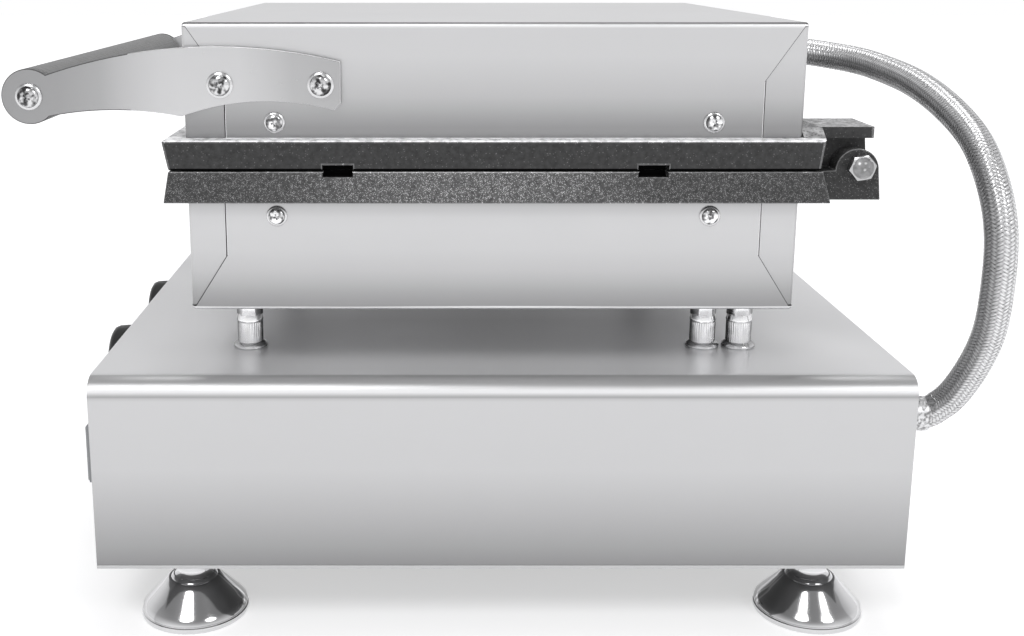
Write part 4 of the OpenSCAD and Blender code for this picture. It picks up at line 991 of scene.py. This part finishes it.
finish["leg"] = legSteel()
low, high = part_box("support_legs")
legX = high.x / mm - leg["spread"]
legRows = (low.y / mm + leg["spread"], high.y / mm - leg["spread"])
master = makeLeg("legMaster", leg["bore"])
spots = [(side * legX, y) for side in (-1, 1) for y in legRows]
copies = [copyTo(master, (x, y, leg["low"])) for x, y in spots]
bpy.data.objects.remove(master)
finishLeg(joinUp("supportLegs", copies), [(x * mm, y * mm) for x, y in spots], "support_legs")
middle = boxMiddle("wiring_tube") * mm
obj = makeLeg("wiringTube", leg["tubeBore"])
obj.location = (middle.x, middle.y, leg["low"] * mm)
finishLeg(settle(obj), [(middle.x, middle.y)], "wiring_tube")
print("legs done")

# hinge bolts with a dished hexagon head
hingeBolt = {"hex": 10.8, "head": 4.0, "shank": 3.0, "tail": 69.8, "turn": 10,
             "collar": [(0, -1), (9, -1), (9, 1.2)], "slope": (0.05, 0.55), "flat": 0.84,
             "dish": [(4.2, 0), (3.5, -0.5), (2, -0.35), (0, -0.3)], "dishReach": 4.25,
             "tip": (0.4, 0.5), "bite": 0.2}
middle = boxMiddle("hinge_bolts")
halfHex, top, r = hingeBolt["hex"] / 2, hingeBolt["head"], hingeBolt["shank"]
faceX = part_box("hinge_bolts")[1].x / mm - top
(slopeOut, slopeDown), (tipIn, tipLong), bite = hingeBolt["slope"], hingeBolt["tip"], hingeBolt["bite"]
chamfer = [(halfHex + slopeOut, top - slopeDown), (halfHex * hingeBolt["flat"], top)]
dish = [(out, top + h) for out, h in hingeBolt["dish"]]
barrel = startTurned("barrel", hingeBolt["collar"] + chamfer + dish)
head = cutAway(startHex("boltMaster", hingeBolt["hex"], 0, top), barrel, "INTERSECT")
tail = hingeBolt["tail"] - faceX
shank = startTurned("shank", [(0, tail), (r - tipIn, tail), (r, tail + tipLong), (r, bite), (0, bite)], 40)
master = joinUp("boltMaster", [head, shank])
setFinishes(master, "bolt", "dish")
paintFaces(master, lambda face: int(face.center.xy.length < hingeBolt["dishReach"] * mm
                                    and face.center.z > (top - 1) * mm))
copies = []
for side in (-1, 1):
    spun = copyTo(master, turn=(0, 0, hingeBolt["turn"] * side))
    copies.append(copyTo(spun, (side * faceX, middle.y, middle.z), (0, 90 * side, 0)))
    bpy.data.objects.remove(spun)
bpy.data.objects.remove(master)
finishPiece(joinUp("hingeBolts", copies), None, "base", ["hinge_bolts"], angle=25, weigh=False)
print("hinge bolts done")

# the armoured hose from base to lid, in mm; its route repeats the one in the part's source
hose = {"radius": 6.42, "around": 80, "strands": 16, "pitch": 1.52, "lift": 0.17, "dome": 0.2, "step": 0.31,
        "wires": 3, "origin": 6.95, "heart": (90, 140), "ease": 10, "tuck": (168, 0.08),
        "route": [(101, 186, 86), (103, 190, 91), (106, 194, 99), (110, 197, 109), (114, 200, 122),
                  (117, 200, 136), (118, 200, 150), (117, 200, 164), (113, 199, 177), (105, 198, 188),
                  (94, 197, 198), (78, 195, 206), (59, 192, 213), (38, 189, 218), (17, 185, 221),
                  (-2, 178, 224), (-17, 165, 226), (-25, 149, 228)],
        "start": (100, 180.4, 84), "end": (-28, 132, 228.4), "sink": 3.0,
        "crown": [(0.27, 0.1), (0.57, 0.52), (0.87, 0.92)], "metal": 0.6, "rough": 0.24, "groove": 0.35,
        "shade": [(0, 1), (0.25, 1), (0.42, 1), (0.63, 1), (0.72, 0.58), (0.88, 0.46), (1, 0.55)]}


def braidedWire():  # bright crowns and dark gaps (painted highlights and painted shade), fine wires along each strand, and painted shade inside the bend
    material, tree, shader = startMaterial("braidedWire", Metallic=hose["metal"], Roughness=hose["rough"])
    spot = addNode(tree, "ShaderNodeUVMap", uv_map="braid").outputs[0]
    split = addNode(tree, "ShaderNodeSeparateXYZ", {0: spot})
    turns = addMath(tree, "MULTIPLY", split.outputs[0], hose["strands"] * hose["wires"])
    lean = hose["wires"] / hose["pitch"]
    sway = addMath(tree, "MULTIPLY_ADD", addStored(tree, "lay"), 2 * lean, -lean)
    across = addMath(tree, "MULTIPLY_ADD", split.outputs[1], sway, turns)
    ripple = addMath(tree, "PINGPONG", across, 1.0)
    wires = addMath(tree, "MULTIPLY_ADD", ripple, hose["groove"], 1 - hose["groove"])
    inside = addMath(tree, "MULTIPLY_ADD", addStored(tree, "inner"), 0.5, 0.5)
    both = addMath(tree, "MULTIPLY", wires, addRamp(tree, inside, hose["shade"]))
    crown = addRamp(tree, addStored(tree, "crown"), hose["crown"])
    feed(tree, shader, {"Base Color": addScaled(tree, crown, both)})
    addBump(tree, shader, ripple, 0.4, 0.1 * mm)
    return material


def steer(end, after):  # a mirrored point makes the hose leave its fitting straight
    return Vector((after[0], 2 * end[1] - after[1], after[2]))


def evenSteps(line, step):
    out, carry = [line[0]], 0.0
    for a, b in zip(line, line[1:]):
        length = (b - a).length
        at = step - carry
        while at <= length:
            out.append(a.lerp(b, at / length))
            at += step
        carry = (carry + length) % step
    return out


def smoothRoute(parts=24):  # a curve through the route's points, sunk in both fittings
    start, end = Vector(hose["start"]), Vector(hose["end"])
    route = [Vector(p) for p in hose["route"]]
    p = [steer(start, route[0]), start] + route + [end, steer(end, route[-1])]
    line = []
    for i in range(1, len(p) - 2):
        for t in (k / parts for k in range(parts)):
            line.append(0.5 * (2 * p[i] + (p[i + 1] - p[i - 1]) * t
                               + (2 * p[i - 1] - 5 * p[i] + 4 * p[i + 1] - p[i + 2]) * t * t
                               + (3 * p[i] - p[i - 1] - 3 * p[i + 1] + p[i + 2]) * t ** 3))
    sink = Vector((0, hose["sink"], 0))
    line = [start - sink] + line + [end, end - sink]
    since, share = hose["tuck"]
    line = [Vector((v.x, v.y - max(v.y - since, 0) * share - hose["origin"], v.z)) for v in line]
    even, out = evenSteps(line, 1.0), []
    for k in range(len(even)):
        reach = min(hose["ease"], k, len(even) - 1 - k)
        near = even[k - reach:k + reach + 1]
        out.append(sum(near, Vector((0, 0, 0))) / len(near))
    return out


def braidHeight(around, along):  # a two-way weave: how high the upper strand stands, and which one it is
    n, pitch = hose["strands"], hose["pitch"]
    pa, pb = around * n + along / pitch, around * n - along / pitch
    i, j = math.floor(pa), math.floor(pb)
    fa, fb = pa - i, pb - j
    over = hose["lift"] * math.cos(math.pi / 2 * (pb + i - 1))
    under = -hose["lift"] * math.cos(math.pi / 2 * (pa + j - 1))
    over += hose["dome"] * (1 - (2 * fa - 1) ** 4)
    under += hose["dome"] * (1 - (2 * fb - 1) ** 4)
    return max(over, under), over > under


def makeHose():
    rings = evenSteps(smoothRoute(), hose["step"])
    around, n = hose["around"], len(rings)
    points, faces, uvs, crowns, lays, sheltered = [], [], [], [], [], []
    side = Vector((1, 0, 0))
    for k, centre in enumerate(rings):
        ahead = (rings[min(k + 1, n - 1)] - rings[max(k - 1, 0)]).normalized()
        side = (side - ahead * side.dot(ahead)).normalized()
        up = ahead.cross(side)
        inward = Vector((0, hose["heart"][0] - centre.y, hose["heart"][1] - centre.z)).normalized()
        for m in range(around):
            a = 2 * math.pi * m / around
            out = side * math.cos(a) + up * math.sin(a)
            sheltered.append(out.dot(inward))
            height, isOver = braidHeight(m / around, k * hose["step"])
            r = hose["radius"] - hose["lift"] - hose["dome"] + height
            crowns.append(height / (hose["lift"] + hose["dome"]))
            lays.append(1.0 if isOver else 0.0)
            points.append((centre + out * r) * mm)
    for k in range(n - 1):
        for m in range(around):
            a, b = k * around + m, k * around + (m + 1) % around
            faces.append((a, b, b + around, a + around))
            u = (m / around, (m + 1) / around)
            v = (k * hose["step"], (k + 1) * hose["step"])
            uvs += [(u[0], v[0]), (u[1], v[0]), (u[1], v[1]), (u[0], v[1])]
    faces.append(tuple(reversed(range(around))))
    faces.append(tuple((n - 1) * around + m for m in range(around)))
    uvs += [(0, 0)] * (2 * around)
    mesh = bpy.data.meshes.new("conduitBraid")
    mesh.from_pydata(points, [], faces)
    layer = mesh.uv_layers.new(name="braid")
    layer.data.foreach_set("uv", [v for uv in uvs for v in uv])
    obj = bpy.data.objects.new("conduitBraid", mesh)
    bpy.context.scene.collection.objects.link(obj)
    for title, values in (("crown", crowns), ("lay", lays), ("inner", sheltered)):
        storeValues(obj, title, values)
    return obj


obj = makeHose()
finishPiece(obj, braidedWire(), None, ["conduit"], angle=60, weigh=False)
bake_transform(obj)
print("conduit done")

# the fittings at both ends of the hose
fitting = {"steps": 56, "length": 16,
           "profile": [(4.5, -1), (7.0, -1), (8.1, -0.6), (8.8, 0), (8.8, 1.2), (8.2, 1.7), (7.2, 1.9),
                       (7.0, 2.3), (7.0, 6.2), (7.2, 6.6), (7.9, 7.0), (8.0, 7.4), (8.0, 8.4), (7.9, 8.8),
                       (7.3, 9.2), (7.15, 9.5), (7.2, 12.5), (7.3, 13.2), (7.3, 15.5), (7.1, 15.9),
                       (6.7, 16.0), (6.5, 15.8), (4.5, 15.8), (4.5, -1)]}
for name, node, body in (("baseFitting", "base_conduit_fitting", "base"),
                         ("lidFitting", "lid_conduit_fitting", "lid")):
    low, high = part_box(node)
    obj = startTurned(name, fitting["profile"], fitting["steps"])
    obj.rotation_euler = (math.radians(-90), 0, 0)
    obj.location = ((low.x + high.x) / 2, high.y - fitting["length"] * mm, (low.z + high.z) / 2)
    finishPiece(obj, finish["fitting"], body, [node], angle=30, weigh=False)
print("fittings done")

# plain pieces: clean copies with softened edges; the last number is the edge in mm
plainPieces = (("frontPanel", "front_panel", "panel", "sheet_steel", "base", 0.3),
               ("rearPanel", "rear_panel", "panel", "sheet_steel", "base", 0.3),
               # the bottom plate's finish is a painted shade, dark like the shade under the base
               ("bottomPlate", "bottom_plate", "under", "sheet_steel", "base", 0.3),
               ("timerKnob", "timer_knob", "black", "black_plastic", "timer", 0.3),
               ("thermostatKnob", "thermostat_knob", "black", "black_plastic", "thermostat", 0.3),
               ("switchRocker", "switch_rocker", "black", "black_plastic", "rocker", 0.3),
               ("switchBody", "switch_body", "black", "black_plastic", "base", 0.2),
               ("switchCover", "switch_cover", "clear", "clear_cover", "base", 0.4),
               ("powerLamp", "power_lamp", "green", "green_lens", "base", 0.1),
               ("heatingLamp", "heating_lamp", "amber", "amber_lens", "base", 0.1),
               ("cableGland", "cable_gland", "black", "black_plastic", "base", 0.3),
               ("earthStud", "earth_stud", "bright", "chrome", "base", 0.2))
knob = {"markDeep": 0.9, "markHalf": 0.95, "markFrom": 2.9}


def isMark(c, front, middle):  # on the raised line of a knob's face
    return (c.y < front + knob["markDeep"] * mm and abs(c.x - middle.x) < knob["markHalf"] * mm
            and c.z > middle.z + knob["markFrom"] * mm)


for name, node, key, slot, body, edge in plainPieces:
    obj = copyOfNode(name, node)
    front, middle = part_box(node)[0].y, boxMiddle(node) * mm
    if node == "bottom_plate":  # its side edges get a lighter finish, a painted highlight that shows as a light line under the cover
        setFinishes(obj, key, "lip")
        paintFaces(obj, lambda face: int(abs(face.normal.z) < 0.5 and abs(face.center.x) > 125 * mm))
    elif node.endswith("_knob"):
        setFinishes(obj, key, "mark")
        paintFaces(obj, lambda face: int(isMark(face.center, front, middle)))
    else:
        setFinishes(obj, key)
    roundEdges(obj, edge, 2, 40)
    finishPiece(obj, None, body, [node])
print("plain pieces done")

# plain number rings round the two knobs; angles run clockwise from the top
dial = {"ticks": (19.4, 21.2), "long": 22.0, "width": 0.45, "proud": 0.04, "text": 3.4, "ring": 24.4,
        "rings": (("timerDial", "timer_knob", 15, 60, 300, 1),
                  ("thermostatDial", "thermostat_knob", 22.5, 45, 270, 50))}
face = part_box("front_panel")[0].y
half, proud = dial["width"] / 2 * mm, dial["proud"] * mm
for name, node, step, every, last, unit in dial["rings"]:
    middle = boxMiddle(node) * mm
    marks = []
    for k in range(int(last / step) + 1):
        angle = math.radians(k * step)
        isLong = (k * step) % every == 0
        reach = dial["long"] if isLong else dial["ticks"][1]
        tick = startBox("tick", (-half, -proud, dial["ticks"][0] * mm), (half, proud, reach * mm))
        tick.rotation_euler = (0, angle, 0)
        tick.location = (middle.x, face, middle.z)
        marks.append(settle(tick))
        if isLong:
            ring = dial["ring"] * mm
            bpy.ops.object.select_all(action="DESELECT")
            bpy.ops.object.text_add(rotation=(math.radians(90), 0, 0), location=(
                middle.x + ring * math.sin(angle), face, middle.z + ring * math.cos(angle)))
            number = bpy.context.object
            number.data.body = str(int(k * step / every) * unit)
            number.data.align_x, number.data.align_y = "CENTER", "CENTER"
            number.data.size, number.data.extrude = dial["text"] * mm, proud
            bpy.ops.object.convert(target="MESH")
            marks.append(settle(bpy.context.object))
    finishPiece(joinUp(name, marks), finish["ink"], "base", angle=30, weigh=False)
print("dials done")

# the floor stays pale in the shade and runs out to white
floor = {"size": 12, "tone": 0.75, "lift": 0.5, "far": 0.85, "reach": (0.5, 2.5)}
bpy.ops.object.select_all(action="DESELECT")
bpy.ops.mesh.primitive_plane_add(size=floor["size"], location=(0, 0, 0))
ground = settle(bpy.context.object)
ground.name = "studioFloor"
groundMaterial, tree, shader = startMaterial("paleFloor", Roughness=0.9)
ray = addNode(tree, "ShaderNodeLightPath").outputs
seen = addMath(tree, "MAXIMUM", ray["Is Camera Ray"], ray["Is Glossy Ray"])
seen = addMath(tree, "MAXIMUM", seen, ray["Is Transmission Ray"])
away = addNode(tree, "ShaderNodeVectorMath", {0: addSpot(tree)}, operation="LENGTH").outputs["Value"]
glow = addRange(tree, away, *floor["reach"], floor["lift"], floor["far"])
feed(tree, shader, {"Base Color": grey(floor["tone"]), "Specular IOR Level": 0.0,
                    "Emission Color": (1, 1, 1, 1), "Emission Strength": addMath(tree, "MULTIPLY", seen, glow)})
ground.data.materials.append(groundMaterial)

# an open white room: bright round the horizon, darker overhead, with three soft lamps
studio = {"horizon": 1.0, "zenith": 0.3, "fade": (0.12, 0.75), "aim": (0, 0, 0.12),
          "lamps": [("keyLamp", (1.3, -0.5, 1.6), 10, 0.8), ("fillLamp", (1.2, 1.0, 1.3), 6, 0.7),
                    ("topLamp", (-0.5, 0.1, 2.0), 16, 1.4)]}
world = bpy.data.worlds.new("studioWorld")
bpy.context.scene.world = world
world.use_nodes = True
tree = world.node_tree
spot = addNode(tree, "ShaderNodeTexCoord").outputs["Generated"]
split = addNode(tree, "ShaderNodeSeparateXYZ", {0: spot})
height = addRange(tree, split.outputs["Z"], *studio["fade"], interpolation_type="SMOOTHSTEP")
sky = addMix(tree, height, grey(studio["horizon"]), grey(studio["zenith"]))
feed(tree, tree.nodes["Background"], {"Color": sky})
for name, place, power, size in studio["lamps"]:
    bpy.ops.object.light_add(type="AREA", location=place)
    lamp = bpy.context.object
    lamp.name = name
    lamp.data.energy = power
    lamp.data.shape, lamp.data.size = "DISK", size
    lamp.rotation_euler = (Vector(studio["aim"]) - Vector(place)).to_track_quat("-Z", "Y").to_euler()
print("studio done")

bpy.context.scene.view_settings.view_transform = "Standard"
